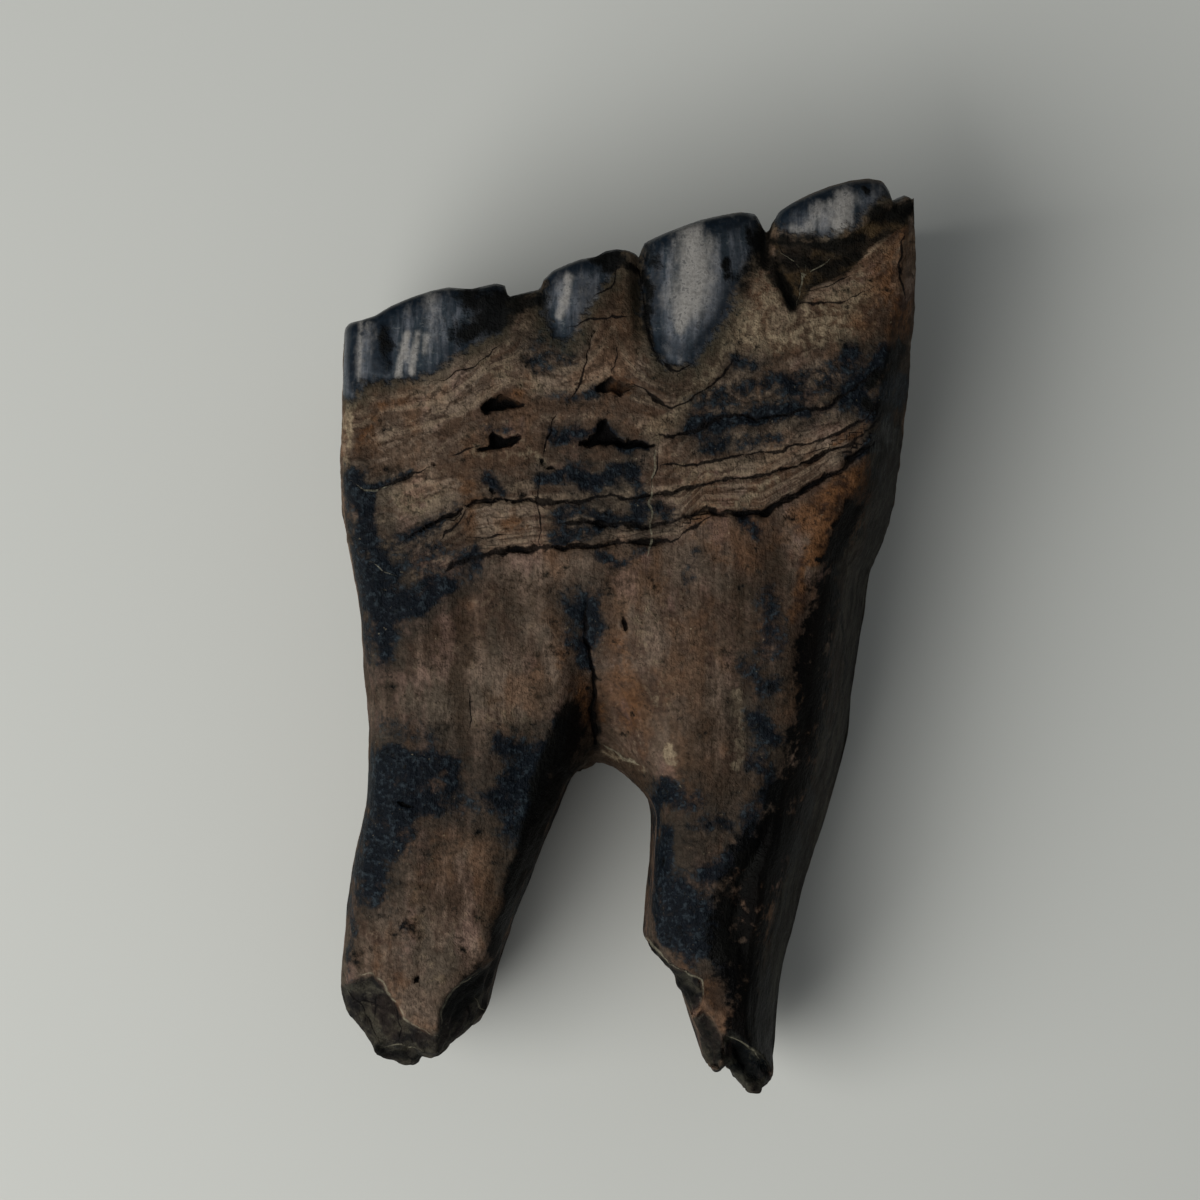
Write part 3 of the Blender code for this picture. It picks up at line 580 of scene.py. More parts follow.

# %% [markdown]
# Cement also breaks out in small pits with steep walls, and cracks as it dries. A pit is a ring
# with a depth, and the cracks are narrow bells across their lines.

# %% Pits and cracks
# Pits: ring, depth in mm
PITS = (
    ([(480, 409), (484, 402), (492, 397), (500, 395), (511, 399), (524, 402), (520, 405), (509, 407),
      (500, 410), (492, 414), (484, 414)], 0.7),
    ([(487, 437), (491, 433), (500, 436), (511, 437), (520, 435), (521, 439), (514, 444), (503, 448),
      (494, 450), (478, 452), (476, 450), (487, 446)], 0.6),
    ([(594, 390), (598, 385), (604, 380), (612, 377), (622, 379), (632, 384), (641, 388), (634, 391),
      (626, 391), (620, 396), (612, 393), (604, 393)], 0.5),
    ([(600, 420), (606, 418), (611, 424), (613, 432), (618, 438), (628, 441), (640, 443), (656, 443),
      (648, 448), (630, 448), (615, 446), (600, 447), (585, 447), (577, 443), (586, 440), (594, 434),
      (599, 428)], 0.65),
    ([(644, 944), (650, 942), (656, 947), (653, 954), (646, 952)], 0.6),
    ([(432, 462), (437, 463), (437, 467), (433, 466)], 0.3),
    ([(622, 618), (626, 622), (630, 629), (627, 632), (621, 626)], 0.35),
    ([(413, 976), (418, 976), (419, 982), (414, 983)], 0.4),
    ([(394, 803), (404, 802), (416, 807), (414, 809), (402, 807)], 0.3),
    ([(486, 486), (492, 488), (498, 494), (495, 497), (488, 492)], 0.2),
    ([(541, 467), (552, 466), (556, 471), (546, 472)], 0.2),
)
# Where a pit's wall begins and where it is down, in pixels inside the ring
PIT_WALL = (-1.0, 2.6)
# Cracks: points, depth in mm, half width in pixels
CRACKS = (
    ([(598, 331), (588, 352), (584, 372), (577, 388), (570, 399)], 0.14, 1.3),
    ([(557, 415), (550, 432), (544, 450), (541, 464)], 0.16, 1.3),
    ([(541, 472), (538, 500), (541, 530), (538, 548)], 0.1, 0.9),
    ([(616, 344), (614, 360), (613, 374)], 0.08, 0.9),
    ([(657, 444), (655, 470), (650, 492), (652, 520)], 0.08, 0.8),
    ([(586, 640), (590, 660), (594, 680), (593, 712), (597, 742)], 0.3, 1.9),
    ([(588, 604), (585, 622), (586, 640)], 0.12, 3.0),
    ([(467, 690), (470, 712), (466, 735)], 0.07, 1.0),
    ([(468, 536), (488, 537), (508, 535)], 0.1, 1.5),
)


def pits(px, py):
    """Depth of the pits: steep walls at each ring, and a floor that is deepest in the middle."""
    total = np.zeros(len(px))
    px, py = crumbled(px, py)
    for ring, depth in PITS:
        inward = depth_in(px, py, ring)
        total = np.maximum(total, depth * smoothstep(inward, *PIT_WALL))
    return total


def cracks(px, py):
    """Depth of the cracks, each a narrow bell across its line."""
    total = np.zeros(len(px))
    px, py = crumbled(px, py)
    for points, depth, half in CRACKS:
        distance = to_line(px, py, curve_through(points, 8.0))[0]
        total = np.maximum(total, depth * np.exp(-((distance / half) ** 2)))
    return total


print("pits:", len(PITS), "cracks:", len(CRACKS))

# %% [markdown]
# Both root ends are broken off, and a flake is gone below the front column. A break is a ring too:
# a sharp drop at its edge, then a fall that levels out, which reads as a facet.

# %% Breaks
# Broken areas of the root ends, as rings in picture pixels: the drop at the ring's edge, the fall
# for each millimetre further in, and the depth at which the fall levels out
BROKEN = {
    "left_facets": ([(325, 985), (347, 984), (361, 976), (374, 974), (384, 985), (396, 1001), (404, 1017),
        (418, 1027), (433, 1033), (442, 1030), (450, 1050), (430, 1085), (380, 1085), (325, 1010)], 0.12,
        0.75, 1.6),
    "left_band": ([(376, 1044), (398, 1046), (413, 1043), (421, 1052), (445, 1056), (440, 1090),
        (365, 1090)], 0.15, 2.2, 2.4),
    "left_scoop": ([(436, 1050), (438, 1022), (443, 1003), (451, 990), (464, 979), (480, 969), (493, 960),
        (507, 950), (530, 1000), (490, 1070), (440, 1075)], 0.3, 2.6, 3.6),
    "right_corner": ([(630, 930), (646, 938), (656, 950), (668, 961), (676, 969), (660, 985), (630, 960)],
        0.1, 1.6, 1.5),
    "right_recess": ([(655, 962), (672, 966), (690, 972), (702, 979), (705, 993), (700, 1008), (690, 1016),
        (668, 995)], 0.45, 0.5, 1.2),
    "right_blade": ([(690, 1018), (704, 1010), (714, 1019), (722, 1034), (725, 1052), (719, 1068),
        (698, 1068), (685, 1035)], 0.5, 0.7, 1.2),
    "right_hollow": ([(722, 1036), (732, 1033), (745, 1041), (756, 1051), (764, 1058), (770, 1069),
        (778, 1095), (728, 1095), (722, 1062)], 0.5, 2.2, 3.0),
}
BROKEN_SOFTNESS = 1.2
# Millimetres to a pixel at the height of the upper face, and where the root ends begin, in y
MM_PER_MARK = 0.0512
ROOT_END_START, ROOT_END_REACH = -17.0, 5.0
# The flake lost below the front column, its depth, and where that begins and is full, in pixels
FLAKE = [(774, 240), (806, 242), (840, 240), (862, 228), (880, 214), (897, 204), (914, 203),
         (906, 226), (888, 236), (872, 246), (862, 259), (848, 273), (832, 280), (812, 287),
         (804, 302), (793, 311), (783, 296), (776, 272)]
FLAKE_DEPTH, FLAKE_EDGE = 0.4, (-3.0, 4.0)


def break_depth(px, py):
    """Depth of the breaks: a drop at each ring's edge, then a fall that levels out."""
    total = np.zeros(len(px))
    for ring, drop, rate, depth in BROKEN.values():
        inward = depth_in(px, py, ring)
        fall = depth * (1.0 - np.exp(-rate * np.clip(inward, 0, None) * MM_PER_MARK / depth))
        total += drop * smoothstep(inward, 0.0, BROKEN_SOFTNESS) + fall
    return total


print("broken areas:", len(BROKEN) + 1)

# %% [markdown]
# The sum takes the forms in order of size. Near the outline it comes down along its shoulder: in a
# quarter ellipse where a root rolls over, and in a long slope on the crown's right.

# %% Sum of the upper face
# Rounding of the edge at the chewing end, and how far in layers and growth lines reach full height
EDGE_REACH, EDGE_FALL = 0.35, 0.45
LAYERS_INSET, LEDGES_INSET = (0.0, 1.0), (0.3, 1.2)


def upper_face(x, y, distance, edge, to_end):
    """Height of the upper face: spine and arch, less the furrow and notches, with its marks."""
    on_crown = smoothstep(y, *ROOTS_TO_CROWN)
    root_fall, root_at = ROOT_CROWNING
    height = spine(y, UPPER_SPINE) - on_crown * crown_arch(x)
    height -= (1 - on_crown) * root_fall * (off_middle(x, y) / root_at) ** 2
    px, py = seen(x, y, height)
    height -= furrow(x, y) + notches(x, y)
    enamel = bare_enamel(px, py)
    height += ribs(x, enamel) - ENAMEL_RECESS * smoothstep(enamel, *ENAMEL_EDGE)
    height += layer_steps(px, py, enamel) * smoothstep(distance, *LAYERS_INSET) + rolls(px, py)
    height -= FLAKE_DEPTH * smoothstep(depth_in(px, py, FLAKE), *FLAKE_EDGE)
    height += ledges(px, py) * smoothstep(distance, *LEDGES_INSET) - pits(px, py) - cracks(px, py)
    for lumps in UPPER_SWELLS:
        height += swell(x, y, *lumps)
    reach, fall, sloped = edge.T
    slope = (1.0 - np.clip(distance / reach, 0.0, 1.0)) ** SLOPE_POWER
    height -= fall * (sloped * slope + (1.0 - sloped) * rolled(distance, reach))
    height -= EDGE_FALL * rolled(to_end, EDGE_REACH)
    low = y < ROOT_END_START
    height[low] -= break_depth(px[low], py[low])
    return height


amid = np.array([[1.4], [2.0], [9.0]])
print("height above the middle:", upper_face(*amid, np.ones((1, 3)), amid[2]).round(2), "mm")

# %% [markdown]
# ## Underside
#
# The hidden side faced the cheek: two rounded lobes with a deep furrow between them, which runs
# down into the fork. It rests on four small flat spots, where the height is cut off at zero.

# %% Shape the underside
UNDER_SPINE = ((-26.0, 1.6), (-21.0, 0.15), (-17.0, -0.3), (-11.0, 0.45), (-4.0, 0.75),
               (2.0, 0.4), (8.0, -0.3), (13.0, 0.1), (18.0, 0.9), (22.0, 2.0))
LOBE_CROWNING = (0.45, 4.0)
# The lower shoulder: how far in it reaches, how high it is, how high at the fork, and how wide the
# fork is for that
UNDER_REACH, UNDER_RISE, FORK_RISE, FORK_HALF = 3.0, 3.3, 1.0, 3.4
UNDER_FURROW_X, UNDER_FURROW_WIDTH, UNDER_FURROW_DEPTH = 0.6, 2.1, 5.2
# Where the furrow fades in from the fork upwards, and where the fork's low edge fades in
UNDER_FURROW_FADE, FORK_FADE = (-9.5, -3.0), (-15.0, -10.0)
UNDER_SWELL = (0.12, 11, 7.0)


def underside(x, y, distance, to_end):
    """Height of the underside, which is flat where it rests."""
    lobe_rise, lobe_at = LOBE_CROWNING
    height = spine(y, UNDER_SPINE) + lobe_rise * (off_middle(x, y) / lobe_at) ** 2
    across = np.exp(-(((x - UNDER_FURROW_X) / UNDER_FURROW_WIDTH) ** 2))
    height += UNDER_FURROW_DEPTH * across * smoothstep(y, *UNDER_FURROW_FADE)
    at_fork = np.exp(-((x / FORK_HALF) ** 2)) * smoothstep(y, *FORK_FADE)
    height += (UNDER_RISE + (FORK_RISE - UNDER_RISE) * at_fork) * rolled(distance, UNDER_REACH)
    height += EDGE_FALL * rolled(to_end, EDGE_REACH) + swell(x, y, *UNDER_SWELL)
    return np.maximum(height, 0.0)


print("deepest in the furrow:", underside(*np.array([[0.6], [2.0]]), 9.0, 9.0).round(2), "mm up")

# %% [markdown]
# ## Chewing face and root ends
#
# The chewing end is worn to a rough plane on which one folded loop of hard enamel stands up as a
# ridge, with softer dentine worn to a basin inside it and cement outside. The loop is a closed
# curve in x and z, and the distance to it gives ridge and basins. The upper rim keeps the cusps of
# the picture.

# %% Chewing face
CHEWING_EDGE = (
    (-13.2, 13.9), (-12.1, 14.2), (-11.4, 14.45), (-10.6, 14.95), (-9.6, 15.4), (-8.6, 15.75),
    (-7.7, 15.95), (-6.5, 15.85), (-5.3, 16.1), (-4.8, 15.95), (-4.65, 15.35), (-4.0, 15.55),
    (-3.05, 15.75), (-2.85, 16.3), (-2.4, 16.75), (-1.8, 17.0), (-1.0, 17.3), (-0.2, 17.4),
    (0.3, 17.7), (0.9, 17.8), (1.5, 17.65), (2.0, 17.5), (2.2, 18.1), (3.05, 18.45),
    (4.1, 18.85), (5.1, 19.2), (6.1, 19.45), (7.1, 19.67), (7.9, 19.65), (8.3, 19.3),
    (8.6, 19.25), (9.2, 19.8), (9.9, 20.2), (10.7, 20.6), (11.7, 21.0), (12.7, 21.3),
    (13.7, 21.45), (14.4, 21.35), (14.75, 20.95), (14.9, 20.4), (15.5, 20.6), (15.9, 20.45),
    (16.2, 19.6),
)
# How far below the upper face the cusps begin to sink and are gone, and the worn face sets in
CUSP_TOP, CUSP_DEPTH = 0.9, 4.6
WORN_TOP, WORN_DEPTH = 1.1, 2.3
RIM_Y = 17.5
ENAMEL_LOOP = [
    (-12.9, 10.2), (-12.7, 12.6), (-10.8, 13.6), (-8.0, 14.0), (-5.4, 13.6), (-4.6, 12.2),
    (-5.8, 11.0), (-8.8, 10.6), (-9.6, 9.6), (-8.2, 8.9), (-4.4, 9.2), (-2.8, 10.8), (-2.6, 13.2),
    (-1.3, 14.0), (0.6, 13.6), (0.7, 11.6), (1.5, 10.6), (2.3, 11.8), (2.5, 13.6), (4.4, 14.3),
    (7.2, 13.9), (7.9, 12.4), (6.4, 11.2), (5.2, 9.8), (6.0, 8.9), (10.0, 9.2), (11.4, 10.6),
    (9.6, 11.8), (9.4, 13.2), (11.4, 14.0), (14.4, 13.3), (15.4, 11.2), (15.3, 7.0), (14.6, 3.6),
    (11.8, 1.7), (7.6, 1.4), (4.2, 2.6), (2.3, 5.0), (1.1, 7.2), (0.0, 5.0), (-1.8, 2.6),
    (-5.4, 1.4), (-9.8, 1.7), (-12.2, 3.6), (-12.9, 6.6),
]
RIDGE_HEIGHT, RIDGE_WIDTH = 0.75, 0.45
# Depth of the basins inside and outside the loop, and how far from the ridge they are full
DENTINE_BASIN, CEMENT_BASIN, BASIN_RAMP = 0.35, 0.75, 0.9
# How far the worn face lies back, how far more for each mm down, and from where points are pushed
CHEWING_SINK, CHEWING_TILT, CHEWING_REACH = 0.5, 0.05, 4.5
enamel_loop = curve_through(ENAMEL_LOOP, 0.4, True)


def low_line(x):
    """The y of the chewing end's low line at x."""
    at, height = np.array([OUTLINE["crown_right"][0][-1], *LOW_LINE, OUTLINE["crown_left"][0][0]]).T
    return np.interp(x, at[::-1], height[::-1])


def chewing_face(x, z):
    """How far the chewing end stands above its low line at (x, z), seen from that end."""
    under = spine(np.array([RIM_Y]), UPPER_SPINE) - crown_arch(x) - z
    at, height = np.array(CHEWING_EDGE).T
    rise = (np.interp(x, at, height) - low_line(x)) * (1.0 - smoothstep(under, CUSP_TOP, CUSP_DEPTH))
    inward = depth_in(x, z, enamel_loop)
    ridge = RIDGE_HEIGHT * np.exp(-((inward / RIDGE_WIDTH) ** 2))
    basin = np.where(inward > 0, DENTINE_BASIN, CEMENT_BASIN) * smoothstep(abs(inward), 0, BASIN_RAMP)
    worn = ridge - basin - CHEWING_SINK - CHEWING_TILT * under
    return rise + smoothstep(under, WORN_TOP, WORN_DEPTH) * worn


print("points of the enamel loop:", len(enamel_loop))

# %% [markdown]
# The root ends are ragged breaks, and the mouths of the pulp canals open in them. Raggedness is a
# swell over the end's own face, and a canal's mouth is a blunt bell.

# %% Root ends
# Each canal: its place (x, z), its half widths and its depth
CANALS = ((-9.3, 5.0, 1.0, 1.5, 1.7), (6.9, 4.6, 0.8, 1.3, 1.9))
# Heights between which the broken ends' hollows fade out upwards
UNDER_RIM = (5.6, 7.4)
# Height, seed and wave length of the swell, how much it is squeezed across, and the slant of the
# end's face away from its middle height
RAGGED, RAGGED_SEED, RAGGED_WAVE, RAGGED_SQUEEZE = 0.35, 21, 4.0, 1.3
RAGGED_BOW, RAGGED_MIDDLE = 0.05, 5.0


def root_ends(x, y, z):
    """How far the broken ends are pushed back: ragged, with the mouths of the pulp canals."""
    back = swell(x * RAGGED_SQUEEZE, z, RAGGED, RAGGED_SEED, RAGGED_WAVE)
    back += RAGGED_BOW * abs(z - RAGGED_MIDDLE)
    for at_x, at_z, half_x, half_z, depth in CANALS:
        back += depth * np.exp(-(((x - at_x) / half_x) ** 4 + ((z - at_z) / half_z) ** 4))
    share = np.clip((ROOT_END_START - y) / ROOT_END_REACH, 0.0, 1.0)
    return np.clip(back, 0.0, None) * share * share * (1.0 - smoothstep(z, *UNDER_RIM))


print("canal mouths:", len(CANALS))

# %% [markdown]
# One function now carries any point of the plan to the surface. It takes the height share, 1 for
# the upper face and 0 for the underside, and pushes the two ends along the tooth on the way.

# %% Carry the plan to the surface
# Where the two faces come closer than this, the lower one gives way
THIN_EDGE = 1.0


def carry(points):
    """Carries (x, y, share of the height) to the surface, in plan millimetres."""
    x, y, share_up = points.T.copy()
    distance, where, share = to_line(x, y, sides)
    edge = side_shoulders[where] * (1 - share[:, None]) + side_shoulders[where + 1] * share[:, None]
    to_end = to_line(x, y, end_line)[0]

    def height(at_y):
        high = upper_face(x, at_y, distance, edge, to_end)
        low = underside(x, at_y, distance, to_end)
        lack = np.clip(THIN_EDGE - (high - low), 0.0, None)
        low = np.maximum(low - lack / 2, 0.0)
        return low + (np.maximum(high, low + THIN_EDGE) - low) * share_up

    z = height(y)
    low = low_line(x)
    near_end = y > low - CHEWING_REACH
    rise = np.zeros(len(x))
    rise[near_end] = chewing_face(x[near_end], z[near_end])
    y = y + rise * smoothstep(y, low - CHEWING_REACH, low)
    y = y + root_ends(x, y, z)
    return np.column_stack([x, y, height(y)])


print("highest point over the crown:", carry(np.array([[1.4, 8.0, 1.0]])).round(2))

# %% [markdown]
# ## The grids
#
# The plan is parted in two four-sided patches, one above each root, by a line from the chewing end
# to the top of the fork. A Coons patch fills each from its four sides: the blend of two opposite
# sides, plus the blend of the other two, minus the blend of the corners. The same patches serve
# for the upper face and the underside, and a strip round the outline joins them.

# %% Part the outline
ROWS, LEFT_COLUMNS, RIGHT_COLUMNS, WALL_ROWS = 300, 96, 118, 72
SPLIT_X, SPLIT_ROWS = -0.2, 176


def stretch_between(start, stop):
    """The outline from the point nearest start to the one nearest stop, in its own direction."""
    first, last = (np.argmin(((outline - np.array(p)) ** 2).sum(1)) for p in (start, stop))
    turned = np.roll(outline, -first, axis=0)
    return turned[:(last - first) % len(outline) + 1]


def outline_stretches():
    """The outline as evenly spaced stretches between the corners of the two patches."""
    corner = {
        "left_top": (-12.9, 13.95), "left_tip": (-13.25, -20.9), "left_inner": (-5.95, -21.4),
        "fork": (SPLIT_X, -8.5), "right_inner": (2.4, -17.8), "right_tip": (8.85, -25.0),
        "right_top": (16.05, 19.4), "split_top": (SPLIT_X, low_line(SPLIT_X)),
    }
    below = ROWS - SPLIT_ROWS + 1
    order = (("left_top", "left_tip", ROWS), ("left_tip", "left_inner", LEFT_COLUMNS),
             ("left_inner", "fork", below), ("fork", "right_inner", below),
             ("right_inner", "right_tip", RIGHT_COLUMNS), ("right_tip", "right_top", ROWS),
             ("right_top", "split_top", RIGHT_COLUMNS), ("split_top", "left_top", LEFT_COLUMNS))
    return [resample(stretch_between(corner[a], corner[b]), count) for a, b, count in order]


stretches = outline_stretches()
print("stretches of the outline:", [len(stretch) for stretch in stretches])

# %% Fill the two patches


def coons(top, bottom, left, right):
    """Four-sided patch: blend of left and right, plus blend of top and bottom, minus the corners."""
    u = np.linspace(0, 1, len(top))[None, :, None]
    v = np.linspace(0, 1, len(left))[:, None, None]
    across = (1 - u) * left[:, None] + u * right[:, None]
    along = (1 - v) * top[None] + v * bottom[None]
    corners = ((1 - u) * (1 - v) * top[0] + u * (1 - v) * top[-1]
               + (1 - u) * v * bottom[0] + u * v * bottom[-1])
    return across + along - corners


(left_side, left_tip, left_inner, right_inner, right_tip, right_side, end_right,
 end_left) = stretches
split = resample(np.array([end_right[-1], left_inner[-1]]), SPLIT_ROWS)
patches = (
    coons(end_left[::-1], left_tip, left_side, np.vstack([split, left_inner[-2::-1]])),
    coons(end_right[::-1], right_tip, np.vstack([split, right_inner[1:]]), right_side[::-1]),
)
print("patches:", [patch.shape[:2] for patch in patches])

# %% [markdown]
# Points shared by two grids have the very same numbers, so they merge, and the skin is closed.

# %% Join the grids


def grid_faces(rows, columns, first, flip):
    """The quads of a grid whose points are numbered row by row from first."""
    at = first + np.arange(rows * columns).reshape(rows, columns)
    quads = np.stack([at[:-1, :-1], at[1:, :-1], at[1:, 1:], at[:-1, 1:]], axis=-1).reshape(-1, 4)
    return quads[:, ::-1] if flip else quads


def whole_skin():
    """Points (x, y, share of the height) of the closed skin, and its quads."""
    grids = []
    for patch in patches:
        for share_up in (1.0, 0.0):
            level = np.full((*patch.shape[:2], 1), share_up)
            grids.append((np.concatenate([patch, level], axis=2), share_up == 0.0))
    ring = np.vstack([line[:-1] for line in stretches] + [stretches[0][:1]])
    levels = np.linspace(1.0, 0.0, WALL_ROWS)
    wall = np.concatenate([np.tile(ring, (WALL_ROWS, 1, 1)),
                           np.tile(levels[:, None, None], (1, len(ring), 1))], axis=2)
    grids.append((wall, False))
    points, quads, first = [], [], 0
    for grid, flip in grids:
        rows, columns = grid.shape[:2]
        points.append(grid.reshape(-1, 3))
        quads.append(grid_faces(rows, columns, first, flip))
        first += rows * columns
    points, quads = np.vstack(points), np.vstack(quads)
    _, kept, renumbered = np.unique(points.round(7), axis=0, return_index=True, return_inverse=True)
    return points[kept], renumbered.ravel()[quads]


skin_points, skin_quads = whole_skin()
print("points of the skin:", len(skin_points), "quads:", len(skin_quads))

# %% Carry the skin


def volume(places, quads):
    """Signed volume inside the quads: a sixth of the triple products of their triangles."""
    a, b, c, d = (places[quads[:, i]] for i in range(4))
    return (np.einsum("ij,ij->", a, np.cross(b, c)) + np.einsum("ij,ij->", a, np.cross(c, d))) / 6


def point_normals(places, quads):
    """Unit normal at each point: the sum of the crossed diagonals of the quads round it."""
    a, b, c, d = (places[quads[:, i]] for i in range(4))
    face = np.cross(c - a, d - b)
    total = np.zeros_like(places)
    for i in range(4):
        for axis in range(3):
            total[:, axis] += np.bincount(quads[:, i], face[:, axis], len(places))
    return total / (np.linalg.norm(total, axis=1)[:, None] + 1e-12)


places = carry(skin_points)
inside = volume(places, skin_quads)
if inside < 0:
    skin_quads = skin_quads[:, ::-1]
print("volume inside the skin:", round(abs(inside)), "mm3")

# %% [markdown]
# ## Skin
#
# Bone, cement and enamel differ at a small scale. Cement is lumpy and crumbly, roots have fibres
# that run along them, breaks are rough, and enamel is smooth. So it is first told which tissue a
# point belongs to, on the upper face from the picture's rings, elsewhere from where it is.

# %% Tell the tissues apart
# Slopes, as the normal's z, between which a face counts as seen from above
TOP_SLOPES = (-0.02, 0.22)
# Away from the picture the enamel's edge is a wave and a random field, this far above the low line
RIM_RISE, RIM_WAVE, RIM_TURNS, RIM_PHASE = 1.2, 0.8, 0.75, 1.0
RIM_UNEVEN, RIM_UNEVEN_SIZE, ENAMEL_REACH = 1.1, 2.4, 60.0
# A break fades in over these pixels inside its ring. At the ends it is what looks down the root,
# by the normal's y and by how far down it lies
BREAK_EDGE, END_SLOPES, TIP_RUN = (-1.0, 3.0), (0.35, 0.7), (20.6, 23.2)


def is_top(normals):
    """1 where a face is seen from above, 0 where it looks down, soft between."""
    return smoothstep(normals[:, 2], *TOP_SLOPES)


def enamel_all_round(places, normals):
    """Depth inside the enamel in pixels: the rings on top, a scalloped rim on the other sides."""
    x, y, z = places.T
    px, py = seen(x, y, z)
    scallop = RIM_WAVE * np.cos(x * RIM_TURNS + RIM_PHASE)
    scallop += RIM_UNEVEN * field(places, RIM_UNEVEN_SIZE, 61, layers=3)
    rim = (y - low_line(x) + RIM_RISE + scallop) / MM_PER_MARK
    top = is_top(normals)
    return np.clip(top * bare_enamel(px, py) + (1.0 - top) * rim, -ENAMEL_REACH, ENAMEL_REACH)


def broken_all_round(places, normals):
    """1 on a break: inside the rings on top, and on what looks down the root at its end."""
    x, y, z = places.T
    px, py = seen(x, y, z)
    inward = np.max([depth_in(px, py, ring) for ring, *_ in BROKEN.values()], axis=0)
    ring = smoothstep(inward, *BREAK_EDGE) * (y < ROOT_END_START) * is_top(normals)
    end = smoothstep(-normals[:, 1], *END_SLOPES) * smoothstep(-y, *TIP_RUN)
    return np.maximum(ring, end)


normals = point_normals(places, skin_quads)
print("points seen from above:", int((is_top(normals) > 0.5).sum()))

# %% [markdown]
# Each kind of roughness is a random field, and every point moves by their sum along its own
# normal, so that the sides and the underside get it too. The flat spots it rests on stay flat.

# %% Roughen the skin
LUMPS, LUMP_SIZE = 0.09, 2.2
FIBRES, FIBRE_SIZE, FIBRE_STRETCH = 0.05, 0.42, (1.0, 9.0, 1.0)
CRUMB, CRUMB_SIZE = 0.06, 0.5
BREAK_ROUGH, BREAK_SIZE = 0.3, 1.1
SIDE_LUMPS, SIDE_SIZE, SIDE_STRETCH = 0.22, 3.4, (1.0, 2.2, 0.8)
# The crown keeps a share of the fibres, the roots a share of the crumb, enamel a share of it all
CROWN_FIBRES, ROOT_CRUMB, ENAMEL_SHARE = 0.4, 0.35, 0.2
CRUMB_RUN, ENAMEL_SKIN_EDGE = (-2.0, 4.0), (-2.0, 3.0)
# Heights over the table between which the skin begins to move
REST_HEIGHT = (0.03, 0.4)


def skin_relief(places, normals):
    """Height of the skin along the normal: lumps, fibres and crumb, by tissue."""
    x, y, z = places.T
    enamel = smoothstep(enamel_all_round(places, normals), *ENAMEL_SKIN_EDGE)
    rough = broken_all_round(places, normals)
    crown = smoothstep(y, *CRUMB_RUN)
    side = 1.0 - is_top(normals)
    height = LUMPS * field(places, LUMP_SIZE, 31, layers=2)
    height += SIDE_LUMPS * side * field(places, SIDE_SIZE, 32, SIDE_STRETCH, layers=2)
    fibres = 1.0 - (1.0 - CROWN_FIBRES) * crown
    height += FIBRES * fibres * field(places, FIBRE_SIZE, 33, FIBRE_STRETCH, layers=2)
    crumbs = ROOT_CRUMB + (1.0 - ROOT_CRUMB) * crown
    height += CRUMB * crumbs * field(places, CRUMB_SIZE, 34, layers=2)
    height *= 1.0 - (1.0 - ENAMEL_SHARE) * enamel
    return height + BREAK_ROUGH * rough * field(places, BREAK_SIZE, 35, layers=3)


grip = smoothstep(places[:, 2], *REST_HEIGHT)
moved = skin_relief(places, normals) * np.maximum(grip, is_top(normals))
places += normals * moved[:, None]
places[:, 2] = np.maximum(places[:, 2], 0.0)
print("the skin moved by up to", abs(moved).max().round(2), "mm")

# %% [markdown]
# The mesh is filled once all its points are final. The grids have more faces than the form needs
# on the hidden side. Decimate merges the least useful of them, and a vertex group spares the upper
# face, where the marks are. The modifier is applied by reading the evaluated mesh back, so that
# what follows works on the points that stay.

# %% Fill the mesh
MOST_TRIANGLES = 195000
# Weight of the upper face against the rest when faces are merged, and of the group as a whole
UPPER_SHARE = 0.35
SPARING = 0.02


def new_mesh(name, places, faces):
    """An object with these points, in plan millimetres, and faces."""
    mesh = bpy.data.meshes.new(name)
    mesh.from_pydata(((places - np.array([*PLAN_CENTRE, 0.0])) * MM).tolist(), [], faces.tolist())
    mesh.validate()
    made = bpy.data.objects.new(name, mesh)
    bpy.context.scene.collection.objects.link(made)
    return made


tooth = new_mesh("tooth_surface", places, skin_quads)
spare = tooth.vertex_groups.new(name="spare")
upper = is_top(normals) > 0.5
spare.add(np.flatnonzero(upper).tolist(), UPPER_SHARE, "REPLACE")
spare.add(np.flatnonzero(~upper).tolist(), 1.0, "REPLACE")
print("points of the mesh:", len(tooth.data.vertices))

# %% Thin the mesh


def thin(piece, most):
    """Merges faces until at most this many triangles are left."""
    triangles = 2 * len(piece.data.polygons)
    decimate = piece.modifiers.new("thin", "DECIMATE")
    decimate.ratio = most / triangles
    decimate.vertex_group = "spare"
    decimate.vertex_group_factor = SPARING
    graph = bpy.context.evaluated_depsgraph_get()
    thinned = bpy.data.meshes.new_from_object(piece.evaluated_get(graph))
    piece.modifiers.clear()
    piece.vertex_groups.clear()
    old, piece.data = piece.data, thinned
    bpy.data.meshes.remove(old)
    thinned.name = piece.name
    thinned.shade_smooth()


thin(tooth, MOST_TRIANGLES)
print("triangles:", sum(len(face.vertices) - 2 for face in tooth.data.polygons))

# %% [markdown]
# ## Stains
#
# The colours of a fossil come from where it lay: manganese stains blue-black, iron stains rust, and
# both creep along cracks and layers. They are painted with strokes, as a painter would: a line of
# points in the picture, a half width and a strength. The strokes give soft amounts, which the
# material turns into mottled edges with noise. Away from the upper face they fade out, since
# nothing is known of the other sides, and noise alone stains them.

